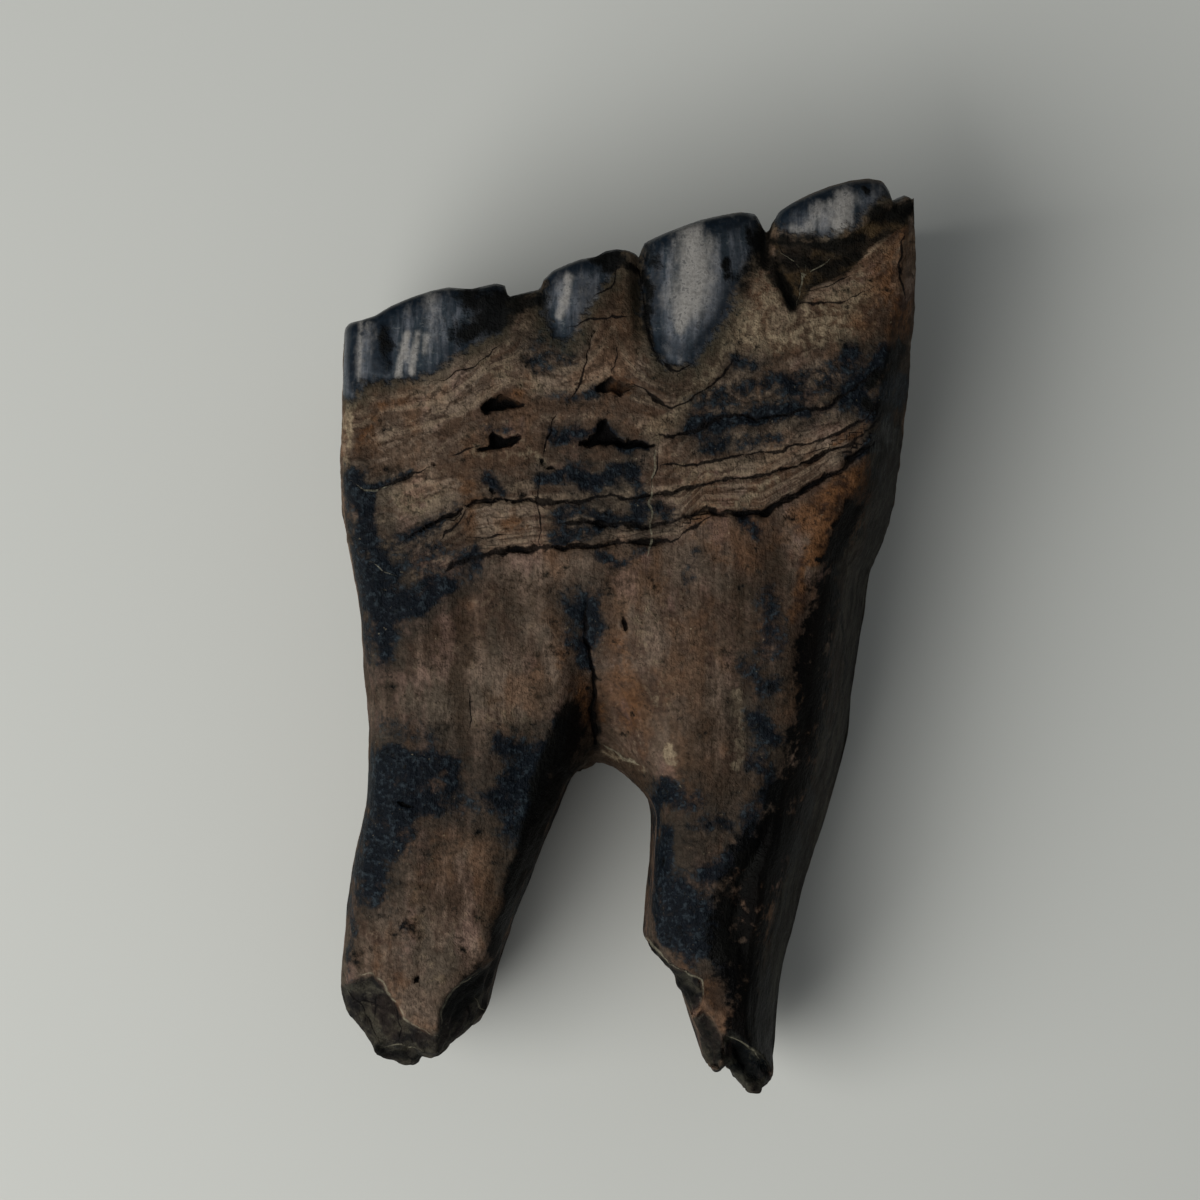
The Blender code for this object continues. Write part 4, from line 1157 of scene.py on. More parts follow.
# %% Strokes of ink
INK = (
    # the crown
    ([(548, 332), (556, 345), (566, 330)], 11, 0.6), ([(532, 350), (550, 362), (575, 356)], 9, 0.5),
    ([(735, 360), (758, 360)], 8, 0.6),
    ([(848, 392), (864, 378), (880, 362), (890, 352)], 10, 0.95),
    ([(850, 352), (862, 360)], 7, 0.45), ([(552, 398), (580, 396), (600, 392)], 6, 0.6),
    ([(690, 428), (730, 418), (770, 416), (800, 412)], 9, 0.9),
    ([(700, 405), (730, 396), (760, 388), (800, 384), (845, 366)], 16, 0.62),
    ([(780, 380), (800, 400), (790, 412)], 9, 0.3), ([(808, 412), (836, 406), (846, 398)], 7, 0.55),
    ([(862, 400), (876, 412), (890, 398), (896, 380)], 12, 0.95),
    ([(490, 430), (512, 428)], 7, 0.6), ([(560, 434), (590, 432), (600, 424)], 7, 0.8),
    ([(604, 422), (608, 432), (620, 444), (650, 444)], 5, 0.85),
    ([(700, 440), (740, 444), (775, 444)], 9, 0.6), ([(706, 452), (716, 450)], 6, 0.7),
    ([(850, 455), (872, 440)], 6, 0.75), ([(880, 440), (892, 425)], 7, 0.7),
    ([(358, 484), (374, 490), (394, 483), (412, 473)], 4, 0.8),
    ([(484, 478), (495, 486), (498, 494)], 8, 0.75),
    ([(545, 478), (580, 474), (600, 480), (624, 472)], 11, 0.75),
    ([(588, 484), (590, 492)], 9, 0.9),
    ([(357, 478), (360, 500), (364, 525), (369, 545), (376, 566)], 14, 1.0),
    ([(388, 548), (410, 540), (440, 525), (452, 514)], 9, 0.62),
    ([(552, 537), (570, 536), (590, 534)], 7, 0.7),
    ([(560, 522), (580, 514), (600, 524), (640, 526)], 8, 0.8),
    ([(636, 478), (640, 508), (648, 516)], 9, 0.75), ([(664, 512), (672, 508)], 7, 0.6),
    ([(745, 520), (756, 532)], 9, 0.7), ([(470, 552), (480, 562)], 8, 0.8),
    ([(600, 556), (620, 566), (640, 556)], 8, 0.65),
    # the neck
    ([(350, 545), (356, 575), (366, 600)], 8, 0.7),
    ([(392, 566), (420, 572), (450, 556), (470, 570)], 16, 0.5),
    ([(690, 560), (688, 580)], 7, 0.55),
    ([(374, 580), (380, 605), (386, 635), (384, 652)], 15, 1.0),
    ([(392, 612), (408, 612)], 12, 1.0),
    ([(396, 596), (420, 600), (440, 592), (452, 590)], 10, 0.95),
    ([(568, 610), (580, 612)], 8, 0.5), ([(572, 596), (570, 640)], 10, 0.5),
    ([(588, 600), (587, 630), (590, 662)], 11, 0.85),
    ([(770, 590), (776, 620), (770, 650)], 14, 0.6), ([(745, 668), (765, 690)], 12, 0.6),
    ([(386, 720), (400, 730), (430, 740)], 9, 0.4), ([(752, 720), (772, 738)], 14, 0.72),
    ([(505, 745), (530, 755), (548, 752)], 14, 0.95),
    ([(560, 722), (566, 744), (560, 770)], 9, 0.9),
    # the roots
    ([(384, 758), (410, 768), (440, 762), (450, 775)], 15, 0.95),
    ([(372, 790), (400, 806), (425, 800)], 17, 1.0),
    ([(390, 768), (402, 806), (384, 850)], 27, 0.6),
    ([(455, 800), (490, 800), (520, 790)], 14, 0.6),
    ([(512, 780), (528, 800), (524, 820)], 15, 0.85),
    ([(520, 778), (530, 800), (520, 830)], 22, 0.55),
    ([(664, 792), (676, 800), (690, 796)], 12, 0.8),
    ([(758, 760), (775, 790), (755, 820)], 14, 0.7),
    ([(368, 830), (388, 840), (404, 838)], 15, 0.85),
    ([(545, 765), (540, 800), (528, 850), (516, 890), (506, 930)], 9, 1.0),
    ([(655, 798), (652, 850), (650, 900)], 5, 0.8), ([(668, 835), (664, 858), (660, 880)], 9, 0.8),
    ([(700, 820), (725, 824)], 9, 0.5), ([(712, 872), (736, 862), (750, 845)], 15, 0.95),
    ([(362, 860), (366, 890)], 16, 0.5), ([(362, 868), (376, 878), (372, 892)], 11, 0.9),
    ([(676, 880), (690, 920)], 24, 0.5), ([(660, 905), (668, 940)], 9, 0.8),
    ([(676, 905), (700, 915), (712, 935), (690, 948)], 19, 1.0),
    ([(352, 900), (348, 950), (350, 985)], 6, 0.5), ([(392, 892), (404, 950), (396, 990)], 9, 0.25),
    ([(725, 965), (732, 990)], 8, 0.75),
)
print("strokes of ink:", len(INK))

# %% [markdown]
# Iron sits in the hollows and along the rim of the crown. Where water has washed the stain out
# again, the cement is cream.

# %% Strokes of rust and of pale cement
RUST = (
    # the crown
    ([(600, 262), (590, 288), (580, 306)], 8, 0.45),
    ([(898, 235), (890, 262), (884, 290), (868, 320)], 15, 0.6),
    ([(905, 300), (900, 330), (893, 352)], 8, 0.8),
    ([(356, 450), (361, 425), (371, 410), (386, 402), (400, 399)], 7, 0.55),
    ([(500, 398), (514, 398)], 5, 0.7), ([(617, 384), (628, 388)], 8, 0.95),
    ([(862, 404), (882, 388), (896, 352)], 10, 0.6),
    ([(366, 430), (372, 445), (376, 470)], 10, 0.4),
    ([(640, 400), (700, 470), (690, 480), (640, 486)], 9, 0.2),
    ([(836, 440), (858, 425), (880, 402)], 6, 0.75),
    ([(803, 520), (828, 512), (850, 485), (868, 465)], 17, 0.85),
    ([(448, 545), (465, 530)], 12, 0.4), ([(466, 486), (470, 505), (462, 540)], 12, 0.55),
    ([(512, 528), (520, 532)], 9, 0.6), ([(690, 520), (706, 514)], 9, 0.45),
    ([(700, 540), (740, 560), (770, 540)], 18, 0.35),
    ([(822, 522), (822, 545), (815, 560)], 11, 0.9),
    # the neck
    ([(640, 560), (660, 590)], 16, 0.3), ([(806, 566), (800, 600), (796, 620)], 6, 0.8),
    ([(373, 606), (376, 636)], 5, 0.5), ([(600, 600), (612, 640)], 14, 0.35),
    ([(560, 620), (566, 660), (580, 710)], 16, 0.45),
    ([(570, 660), (582, 690), (590, 720)], 13, 0.6),
    ([(618, 645), (628, 680), (628, 720)], 15, 0.45), ([(500, 700), (480, 740)], 14, 0.25),
    # the roots
    ([(748, 824), (758, 832)], 8, 0.6), ([(512, 880), (508, 900)], 6, 0.6),
    ([(420, 880), (410, 930)], 12, 0.25), ([(650, 905), (652, 935)], 5, 0.5),
    ([(705, 985), (722, 1000), (732, 1012)], 11, 0.6),
)
PALE = (
    # the crown
    ([(862, 268), (878, 250), (890, 240)], 10, 0.4), ([(765, 285), (770, 300)], 14, 0.5),
    ([(745, 322), (790, 325), (830, 318), (862, 300)], 20, 0.62),
    ([(495, 360), (520, 380), (555, 384)], 16, 0.3),
    ([(760, 345), (800, 345), (840, 335)], 14, 0.5),
    ([(840, 352), (858, 340), (876, 330)], 9, 0.35),
    ([(654, 438), (676, 408), (702, 384), (728, 352), (748, 326)], 9, 0.55),
    ([(660, 420), (680, 416), (700, 406)], 8, 0.35), ([(347, 405), (346, 450), (349, 488)], 5, 0.9),
    ([(480, 455), (510, 462), (540, 455)], 10, 0.4), ([(690, 475), (760, 468)], 10, 0.4),
    ([(700, 510), (745, 500), (780, 480)], 8, 0.45),
    ([(390, 500), (415, 508), (440, 500)], 15, 0.4),
    # the neck
    ([(640, 610), (650, 650), (660, 700)], 12, 0.25),
    ([(480, 715), (505, 712), (515, 722)], 16, 0.35),
    ([(740, 700), (742, 735), (738, 765)], 8, 0.6), ([(384, 724), (396, 742), (398, 758)], 9, 0.35),
    ([(668, 748), (672, 760)], 7, 0.95), ([(766, 742), (772, 758)], 7, 0.45),
    # the roots
    ([(606, 750), (624, 758), (640, 768)], 5, 0.5),
    ([(420, 900), (440, 940), (430, 990)], 14, 0.22),
)
print("strokes of rust and pale:", len(RUST), len(PALE))

# %% [markdown]
# The right side of the tooth is painted black along the ridge, a painted shade where it turns away
# from the light, and painted grey beyond it, a painted sheen for the light that it reflects there.

# %% Strokes of the two bands
# The black strip of painted shade and the grey strip of painted sheen beyond it, along the ridge on the
# right
PAINTED_SHADE_BAND = (
    ([(884, 452), (868, 500), (846, 540)], 11, 0.45),
    ([(850, 505), (836, 545), (826, 590)], 10, 0.75),
    ([(824, 596), (814, 640), (812, 700), (804, 740), (794, 790), (782, 830)], 17, 1.0),
    ([(742, 845), (722, 900), (716, 940)], 13, 0.6),
    ([(788, 810), (768, 860), (750, 905), (742, 950), (746, 1010), (752, 1060)], 24, 1.0),
)
PAINTED_SHEEN_BAND = (
    ([(892, 440), (886, 480), (876, 530), (864, 570)], 19, 0.9),
    ([(850, 560), (850, 600), (846, 660), (838, 730), (822, 800), (805, 870), (788, 930),
      (774, 980), (768, 1050)], 19, 1.0),
)
print("strokes of the bands:", len(PAINTED_SHADE_BAND) + len(PAINTED_SHEEN_BAND))

# %% [markdown]
# On the enamel, pale streaks run along the columns between places of deep blue. The streaks are
# partly pale enamel and partly painted highlight, and the deep blue is partly stain and partly a
# painted dark reflection.

# %% Strokes on the enamel
# Pale streaks on the enamel: pale enamel, and painted highlight where the columns catch the light
STREAKS_AND_HIGHLIGHTS = (
    ([(818, 208), (812, 226)], 8, 0.6), ([(830, 204), (830, 222)], 6, 0.4),
    ([(846, 200), (842, 224)], 11, 0.95), ([(690, 232), (704, 242)], 10, 0.4),
    ([(793, 228), (800, 231)], 5, 0.5), ([(569, 278), (566, 298), (560, 316)], 5, 0.75),
    ([(694, 246), (693, 276), (688, 298)], 20, 0.95), ([(371, 326), (370, 352)], 5, 0.15),
    ([(432, 300), (432, 330), (424, 346)], 12, 0.25), ([(686, 306), (680, 330)], 5, 0.7),
    ([(686, 300), (682, 322)], 8, 0.7), ([(361, 320), (360, 350), (359, 380)], 2.5, 0.6),
    ([(398, 376), (401, 358), (407, 334)], 3.5, 1.0),
    ([(412, 372), (414, 352), (418, 334)], 3.5, 1.0), ([(424, 352), (426, 336)], 3.0, 0.7),
)
# Deep blue places on the enamel: partly stain, partly a painted dark reflection in the glossy rims
BLUES = (
    ([(774, 214), (830, 190), (872, 180)], 5, 0.9), ([(780, 212), (860, 186)], 10, 0.4),
    ([(644, 246), (700, 222), (750, 212)], 9, 1.0), ([(740, 222), (700, 232)], 10, 0.7),
    ([(440, 290), (410, 302)], 14, 0.4), ([(544, 280), (565, 265), (590, 262)], 5, 0.9),
    ([(575, 270), (590, 300)], 14, 0.4), ([(344, 322), (380, 306), (420, 292), (450, 286)], 5, 1.0),
    ([(450, 350), (480, 325)], 10, 0.6), ([(655, 250), (655, 310), (660, 350)], 9, 0.6),
    ([(700, 345), (722, 318), (736, 280)], 9, 0.7), ([(352, 325), (352, 360), (354, 388)], 7, 0.8),
    ([(374, 330), (374, 370)], 6, 0.6), ([(384, 318), (386, 368)], 9, 0.9),
    ([(660, 345), (690, 355)], 9, 0.5),
)
print("strokes on the enamel:", len(STREAKS_AND_HIGHLIGHTS) + len(BLUES))

# %% [markdown]
# The deepest places are painted black: partly the dirt that fills them, partly painted shade. Around
# them, and in broad patches elsewhere, the cement is a deeper brown, partly its own tone and partly
# painted shade.

# %% Strokes of black and brown
# Black places, dirt and painted shade: the ends of columns, the notches and the deep hollows
BLACKS_AND_SHADE = (
    # the crown
    ([(862, 192), (865, 195)], 3, 1.0), ([(878, 214), (900, 214), (908, 206)], 10, 0.9),
    ([(646, 246), (652, 262)], 8, 0.6), ([(782, 240), (830, 246), (858, 236)], 7, 0.85),
    ([(598, 258), (616, 258), (612, 268)], 10, 0.95),
    ([(624, 268), (640, 272), (648, 290), (648, 330)], 5, 0.85), ([(726, 264), (728, 278)], 5, 0.8),
    ([(752, 232), (754, 262), (744, 290)], 9, 0.7),
    ([(766, 226), (766, 256), (772, 276), (786, 290), (792, 306)], 8, 0.95),
    ([(790, 262), (830, 270), (856, 254)], 11, 0.75),
    ([(462, 334), (482, 328), (500, 320)], 12, 0.8),
    ([(472, 296), (490, 304), (504, 300)], 19, 0.95),
    ([(500, 312), (520, 304), (534, 300)], 12, 0.75), ([(384, 326), (386, 366)], 6, 0.6),
    ([(872, 380), (890, 370), (898, 350)], 9, 0.8), ([(868, 404), (888, 410)], 8, 0.8),
    # the neck
    ([(590, 690), (594, 720), (596, 748)], 5, 0.7),
    # the roots
    ([(568, 716), (572, 745), (562, 772), (550, 800)], 15, 1.0),
    ([(560, 740), (548, 790), (532, 850), (516, 905), (500, 950)], 13, 0.95),
    ([(556, 770), (540, 830), (524, 880)], 17, 0.9), ([(512, 900), (498, 950)], 9, 0.8),
    ([(748, 862), (730, 906), (726, 950)], 14, 0.8), ([(650, 944), (654, 948)], 6, 0.9),
    ([(660, 964), (690, 994)], 9, 0.7), ([(452, 1012), (468, 988), (492, 972)], 13, 0.85),
    ([(380, 1050), (420, 1058)], 7, 0.6), ([(702, 1022), (716, 1056)], 9, 0.6),
    ([(738, 1048), (752, 1070)], 9, 0.9),
)
# Broad places that are a deeper brown: partly the cement's own tone, partly painted shade along edges and
# hollows
SHADES = (
    # the crown
    ([(580, 290), (600, 300), (622, 290)], 22, 0.5), ([(470, 350), (520, 320)], 14, 0.45),
    ([(540, 310), (560, 350), (590, 340)], 20, 0.4), ([(614, 296), (624, 340)], 18, 0.55),
    ([(850, 350), (890, 330)], 14, 0.3), ([(880, 330), (896, 300)], 12, 0.45),
    ([(640, 330), (660, 385), (700, 380), (736, 330)], 12, 0.4),
    ([(700, 330), (720, 350), (690, 380)], 12, 0.4), ([(700, 380), (800, 390)], 24, 0.3),
    ([(840, 400), (880, 440)], 16, 0.35), ([(868, 440), (896, 400)], 14, 0.5),
    ([(364, 400), (362, 450)], 10, 0.35), ([(560, 450), (620, 460)], 26, 0.2),
    ([(850, 480), (842, 520), (826, 550)], 16, 0.9),
    ([(906, 330), (898, 400), (890, 470), (872, 550), (860, 640), (846, 740)], 12, 0.7),
    # the neck
    ([(380, 560), (400, 590)], 20, 0.3), ([(600, 560), (690, 575), (750, 590)], 24, 0.3),
    ([(346, 520), (352, 560), (362, 620), (368, 700)], 6, 0.5),
    ([(500, 600), (560, 600), (575, 620)], 22, 0.4), ([(420, 590), (440, 680)], 20, 0.25),
    ([(450, 640), (520, 650)], 26, 0.25), ([(700, 610), (706, 650)], 20, 0.3),
    ([(740, 600), (760, 680)], 16, 0.5), ([(386, 650), (390, 700)], 14, 0.4),
    ([(463, 600), (462, 680), (460, 780)], 8, 0.6), ([(670, 670), (690, 710)], 22, 0.25),
    ([(740, 640), (750, 720)], 22, 0.45),
    ([(770, 560), (786, 640), (784, 720), (766, 790)], 16, 0.6),
    ([(550, 690), (540, 730)], 18, 0.5), ([(584, 700), (592, 752)], 12, 0.8),
    ([(600, 680), (604, 740)], 8, 0.5), ([(640, 700), (690, 760)], 20, 0.3),
    ([(700, 700), (720, 760), (715, 790)], 18, 0.4),
    # the roots
    ([(606, 752), (630, 772), (650, 800)], 14, 0.6),
    ([(610, 752), (636, 776), (648, 800)], 10, 0.45), ([(690, 740), (706, 790)], 20, 0.45),
    ([(372, 760), (382, 820), (372, 880)], 24, 0.6), ([(480, 760), (470, 800)], 18, 0.25),
    ([(700, 850), (740, 820), (748, 780)], 20, 0.5), ([(470, 820), (520, 830)], 22, 0.35),
    ([(536, 760), (512, 840), (494, 910)], 21, 0.8),
    ([(690, 780), (700, 850), (710, 900)], 24, 0.3), ([(400, 870), (420, 900)], 18, 0.3),
    ([(440, 850), (446, 890)], 20, 0.35), ([(664, 800), (668, 860), (690, 930)], 18, 0.5),
    ([(360, 930), (366, 980)], 16, 0.35), ([(440, 1000), (480, 960)], 16, 0.4),
    ([(720, 900), (740, 960), (745, 1040)], 16, 0.5),
    ([(806, 850), (784, 950), (770, 1050)], 16, 0.8), ([(705, 980), (725, 1000)], 14, 0.7),
)
print("strokes of black and brown:", len(BLACKS_AND_SHADE) + len(SHADES))

# %% [markdown]
# Thin lines need more care: a point of the mesh lies every few pixels, so the attribute holds the
# signed distance to the nearest line, and the line appears where it passes through zero.

# %% Thin lines
# Dark lines: cracks, and painted shadow lines where a step drops onto a facet or into a groove
FINE_LINES = (
    # the crown
    ([(618, 262), (612, 286), (590, 300)], 0.9),
    ([(778, 240), (786, 256), (800, 272), (797, 300)], 1.0),
    ([(795, 305), (840, 300), (876, 286)], 1.6), ([(800, 292), (830, 284), (852, 276)], 1.0),
    ([(806, 276), (832, 260)], 1.0), ([(905, 232), (900, 262), (906, 300)], 1.2),
    ([(566, 330), (600, 318), (634, 318)], 0.9),
    ([(636, 262), (642, 290), (648, 330), (664, 366), (680, 376)], 1.2),
    ([(500, 345), (482, 362), (460, 372), (430, 384)], 0.8), ([(618, 345), (614, 372)], 0.9),
    ([(655, 360), (676, 370), (694, 362)], 1.2), ([(440, 540), (452, 528), (470, 508)], 1.2),
    ([(480, 537), (508, 535)], 1.2),
    # the neck
    ([(838, 600), (846, 640), (840, 700), (826, 760)], 1.0),
    # the roots
    ([(345, 988), (358, 1002), (368, 1020), (380, 1042)], 1.3),
    ([(352, 1004), (366, 1000), (382, 1006)], 1.0), ([(378, 996), (374, 1024)], 1.4),
    ([(462, 990), (470, 1008), (466, 1026)], 1.4), ([(394, 1008), (399, 1028), (397, 1044)], 1.2),
    ([(404, 1052), (412, 1060), (410, 1072)], 1.2),
)
PALE_LINES = (
    # the crown
    ([(798, 300), (803, 276), (800, 268), (784, 254)], 1.2), ([(803, 276), (830, 258)], 1.0),
    ([(355, 484), (372, 492), (392, 486)], 1.2), ([(655, 446), (651, 500), (650, 558)], 1.2),
    # the neck
    ([(372, 564), (390, 572)], 1.0),
    # the roots
    ([(605, 745), (640, 765)], 1.6), ([(632, 932), (648, 940), (657, 951), (669, 962)], 1.6),
    ([(672, 965), (688, 971), (701, 979), (703, 995)], 1.2),
    ([(360, 977), (374, 975), (385, 988), (397, 1006), (406, 1019), (420, 1029), (436, 1034)], 1.1),
    ([(440, 1028), (440, 1014), (446, 1000), (456, 988), (472, 976)], 1.0),
    ([(478, 1000), (486, 1008)], 2.5), ([(386, 1047), (402, 1046), (416, 1050)], 1.0),
    ([(725, 1034), (746, 1044), (760, 1060)], 1.0),
)
print("thin lines:", len(FINE_LINES) + len(PALE_LINES))

# %% [markdown]
# A stroke counts fully along its line and fades out beyond its half width. Before it is measured,
# the places wander by a random field, so that stains get ragged shapes.

# %% Measure strokes and lines
WANDER, WANDER_SIZE = 14.0, 1.3
STROKE_FADE = (0.2, 1.7)
# The distance at which lines are forgotten, the length of a line's tapered end, and its width there
LINE_REACH, TAPER, TAPERED = 12.0, 14.0, 0.2


def wander(places, px, py):
    """Picture places pushed about by random fields, so that stains have ragged shapes."""
    east = WANDER * field(places, WANDER_SIZE, 71, layers=4)
    south = WANDER * field(places, WANDER_SIZE, 72, layers=4)
    return px + east, py + south


def stroked(px, py, strokes):
    """Amount of stain: 1 along a stroke's line, fading out beyond its half width."""
    clear = np.ones(len(px))
    for points, half, strength in strokes:
        distance = to_line(px, py, np.array(points, float))[0] / half
        clear *= 1.0 - strength * (1.0 - smoothstep(distance, *STROKE_FADE))
    return 1.0 - clear


def lined(px, py, lines):
    """Signed distance to the nearest line in its own half widths, and its distance in pixels."""
    best, signed = np.full(len(px), LINE_REACH), np.full(len(px), LINE_REACH)
    px, py = crumbled(px, py)
    for points, half in lines:
        line = curve_through(points, 5.0)
        distance, where, share = to_line(px, py, line)
        steps = np.linalg.norm(np.diff(line, axis=0), axis=1)
        along = np.concatenate([[0.0], np.cumsum(steps)])
        at = along[where] + share * steps[where]
        taper = np.clip(np.minimum(at, along[-1] - at) / TAPER, 0.0, 1.0) * (1.0 - TAPERED) + TAPERED
        step = np.diff(line, axis=0)[where]
        side = np.sign(step[:, 0] * (py - line[where, 1]) - step[:, 1] * (px - line[where, 0]))
        near = distance < best
        best[near] = distance[near]
        signed[near] = (side * distance / (half * taper))[near]
    return np.clip(signed, -LINE_REACH, LINE_REACH), best


ink_here = stroked(*np.array([[380.0], [610.0]]), INK)
print("ink beside the left root's top:", ink_here.round(2))

# %% [markdown]
# The material needs each amount at every point of the mesh. The first function gives the tissues,
# and the measures that their colours follow.

# %% Amounts of tissue
RIM_REACH, FLAKE_BLUR, SLIT_FULL = 60.0, (-8.0, 8.0), 0.25
# The worn end: heights from the low line, slopes as the normal's y, and depths below the upper face
WORN_RISE, WORN_SLOPES, WORN_UNDER = (-1.6, -0.6), (0.35, 0.75), (0.5, 1.4)
# On the other sides layers begin this far below the low line, and take this length
SIDE_LAYERS_START, SIDE_LAYERS_RUN = 3.0, 14.0
LOOP_REACH = 3.0


def tissues(places, normals):
    """Tissues at each point, by name: where enamel, the worn end, breaks, slits and layers are."""
    x, y, z = places.T
    px, py = seen(x, y, z)
    top, low = is_top(normals), low_line(x)
    enamel = enamel_all_round(places, normals)
    under = spine(np.full(len(x), RIM_Y), UPPER_SPINE) - crown_arch(x) - z
    at_end = smoothstep(y, low + WORN_RISE[0], low + WORN_RISE[1])
    at_end *= smoothstep(normals[:, 1], *WORN_SLOPES)
    slits = -np.clip(ledges(px, py), None, 0.0) + pits(px, py) + cracks(px, py)
    side_share = np.clip((low - SIDE_LAYERS_START - y) / SIDE_LAYERS_RUN, 0.0, 1.0)
    to_edge = to_line(x, y, np.array(CHEWING_EDGE))[0] / MM_PER_MARK
    return {
        "top": top, "enamel": enamel, "broken": broken_all_round(places, normals),
        "worn": at_end * smoothstep(under, *WORN_UNDER),
        "loop": np.clip(depth_in(x, z, enamel_loop), -LOOP_REACH, LOOP_REACH),
        "layer": top * growth(px, py, enamel) + (1.0 - top) * side_share,
        "rim": np.clip(to_edge, 0.0, RIM_REACH),
        "flake": top * smoothstep(depth_in(px, py, FLAKE), *FLAKE_BLUR),
        # the slits' depth, which the finish also paints black as painted shadow
        "slit": top * np.clip(slits / SLIT_FULL, 0.0, 1.0),
    }


print("amounts of tissue:", sorted(tissues(places[:9], normals[:9])))

# %% [markdown]
# The second function gives the stains, the painted shade and sheen, and the thin lines. A halo of
# smoke lies round the ink, and takes the same strokes, wider and weaker. The walls that face right,
# away from the light, are painted black as shade, and so is the wall of the fork, where dark stain
# adds to the painted shade.

# %% Amounts of stain
SMOKE_WIDTH, SMOKE_STRENGTH, CRACK_WIDTH = 2.3, 0.8, 0.8
# The right walls, painted black as shade since they face away from the light: slopes as the
# normal's x, heights, and the y below which the black covers them
WALL_SLOPES, WALL_HEIGHTS, WALL_BAND = (0.3, 0.8), (3.0, 8.5), (-8.0, 0.0)
# The wall of the fork, black with dark stain and painted shade: left of this x, below these y, and how
# black it is
FORK_WALL_X, FORK_WALL_RUN, FORK_WALL_SHADE = 0.5, (7.0, 9.5), 0.8


def stains(places, normals):
    """Stains, painted shade and painted sheen, and lines at each point, by name."""
    x, y, z = places.T
    px, py = seen(x, y, z)
    wx, wy = wander(places, px, py)
    top = is_top(normals)
    wall = (1.0 - top) * smoothstep(normals[:, 0], *WALL_SLOPES) * smoothstep(z, *WALL_HEIGHTS)
    in_fork = (x < FORK_WALL_X) * smoothstep(-y, *FORK_WALL_RUN)
    smoke = [(line, SMOKE_WIDTH * half, SMOKE_STRENGTH * share) for line, half, share in INK]
    # dark lines: painted shadow under the growth lines' lips, cracks, and the fine lines
    dark = [(points, half) for points, _, _, half in LEDGES.values()]
    dark += [(points, half * CRACK_WIDTH) for points, _, half in CRACKS] + list(FINE_LINES)
    dark_side, dark_near = lined(px, py, dark)
    pale_side, pale_near = lined(px, py, PALE_LINES)
    # black places: dirt, and painted shade in the notches and hollows
    black = top * stroked((px + wx) / 2, (py + wy) / 2, BLACKS_AND_SHADE)
    return {
        "ink": top * stroked(wx, wy, INK), "smoke": top * stroked(wx, wy, smoke),
        "rust": top * stroked(wx, wy, RUST), "pale": top * stroked(wx, wy, PALE),
        # the deeper brown is partly painted shade, and the grey strip is painted sheen
        "shade": top * stroked(wx, wy, SHADES), "painted_sheen": top * stroked(px, py, PAINTED_SHEEN_BAND),
        "streak_and_highlight": top * stroked(px, py, STREAKS_AND_HIGHLIGHTS), "blue": top * stroked(px, py, BLUES),
        # the black strip along the ridge and the right walls that face away from the light: painted shade
        "painted_shade_band": np.maximum(top * stroked(px, py, PAINTED_SHADE_BAND), wall * smoothstep(-y, *WALL_BAND)),
        # black places and the wall of the fork: dirt, dark stain and painted shade
        "black": np.maximum(black, wall * in_fork * FORK_WALL_SHADE),
        "dark_side": dark_side, "dark_near": dark_near + LINE_REACH * (1.0 - top),
        "pale_side": pale_side, "pale_near": pale_near + LINE_REACH * (1.0 - top),
    }


print("amounts of stain:", sorted(stains(places[:9], normals[:9])))

# %% Write the amounts to the mesh


def read_back(piece):
    """Points, in plan millimetres, and normals of a finished mesh."""
    count = len(piece.data.vertices)
    at, facing = np.empty(count * 3, np.float32), np.empty(count * 3, np.float32)
    piece.data.vertices.foreach_get("co", at)
    piece.data.vertex_normals.foreach_get("vector", facing)
    at = at.reshape(-1, 3).astype(float) / MM + np.array([*PLAN_CENTRE, 0.0])
    return at, facing.reshape(-1, 3).astype(float)


def put(piece, name, values):
    """Writes one number for each point of a piece's mesh."""
    layer = piece.data.attributes.new(name, "FLOAT", "POINT")
    layer.data.foreach_set("value", values.astype(np.float32))


at, facing = read_back(tooth)
for name, values in {**tissues(at, facing), **stains(at, facing)}.items():
    put(tooth, name, values)
print("points of the tooth:", len(at), "box:", at.min(0).round(2), at.max(0).round(2))

# %% [markdown]
# ## Writing materials as sums
#
# A shader is arithmetic on pictures. The first class wraps a node's output, so that + and * add the
# Math nodes. The second adds every other node from its type, its settings and its inputs. Written
# like this, a coat of colour is one line of Python instead of a tangle of wires.

# %% Arithmetic on shader nodes


class Amount:
    """An output of a shader node. Arithmetic on it adds Math nodes."""

    def __init__(self, finish, socket):
        self.finish, self.socket = finish, socket

    def math(self, operation, first, second):
        return self.finish.node("ShaderNodeMath", {"operation": operation}, {0: first, 1: second})

    def __add__(self, other):
        return self.math("ADD", self, other)

    def __sub__(self, other):
        return self.math("SUBTRACT", self, other)

    def __rsub__(self, other):
        return self.math("SUBTRACT", other, self)

    def __mul__(self, other):
        return self.math("MULTIPLY", self, other)

    __radd__, __rmul__ = __add__, __mul__

    def __or__(self, other):
        return self.math("MAXIMUM", self, other)

    def __abs__(self):
        return self.math("ABSOLUTE", self, 0.0)

    def __mod__(self, other):
        return self.math("FLOORED_MODULO", self, other)


# %% [markdown]
# Colours are read off the picture, where they are darker than the tooth itself: the light on it
# was dim. So each is turned from picture numbers to light, and divided by how much light falls.

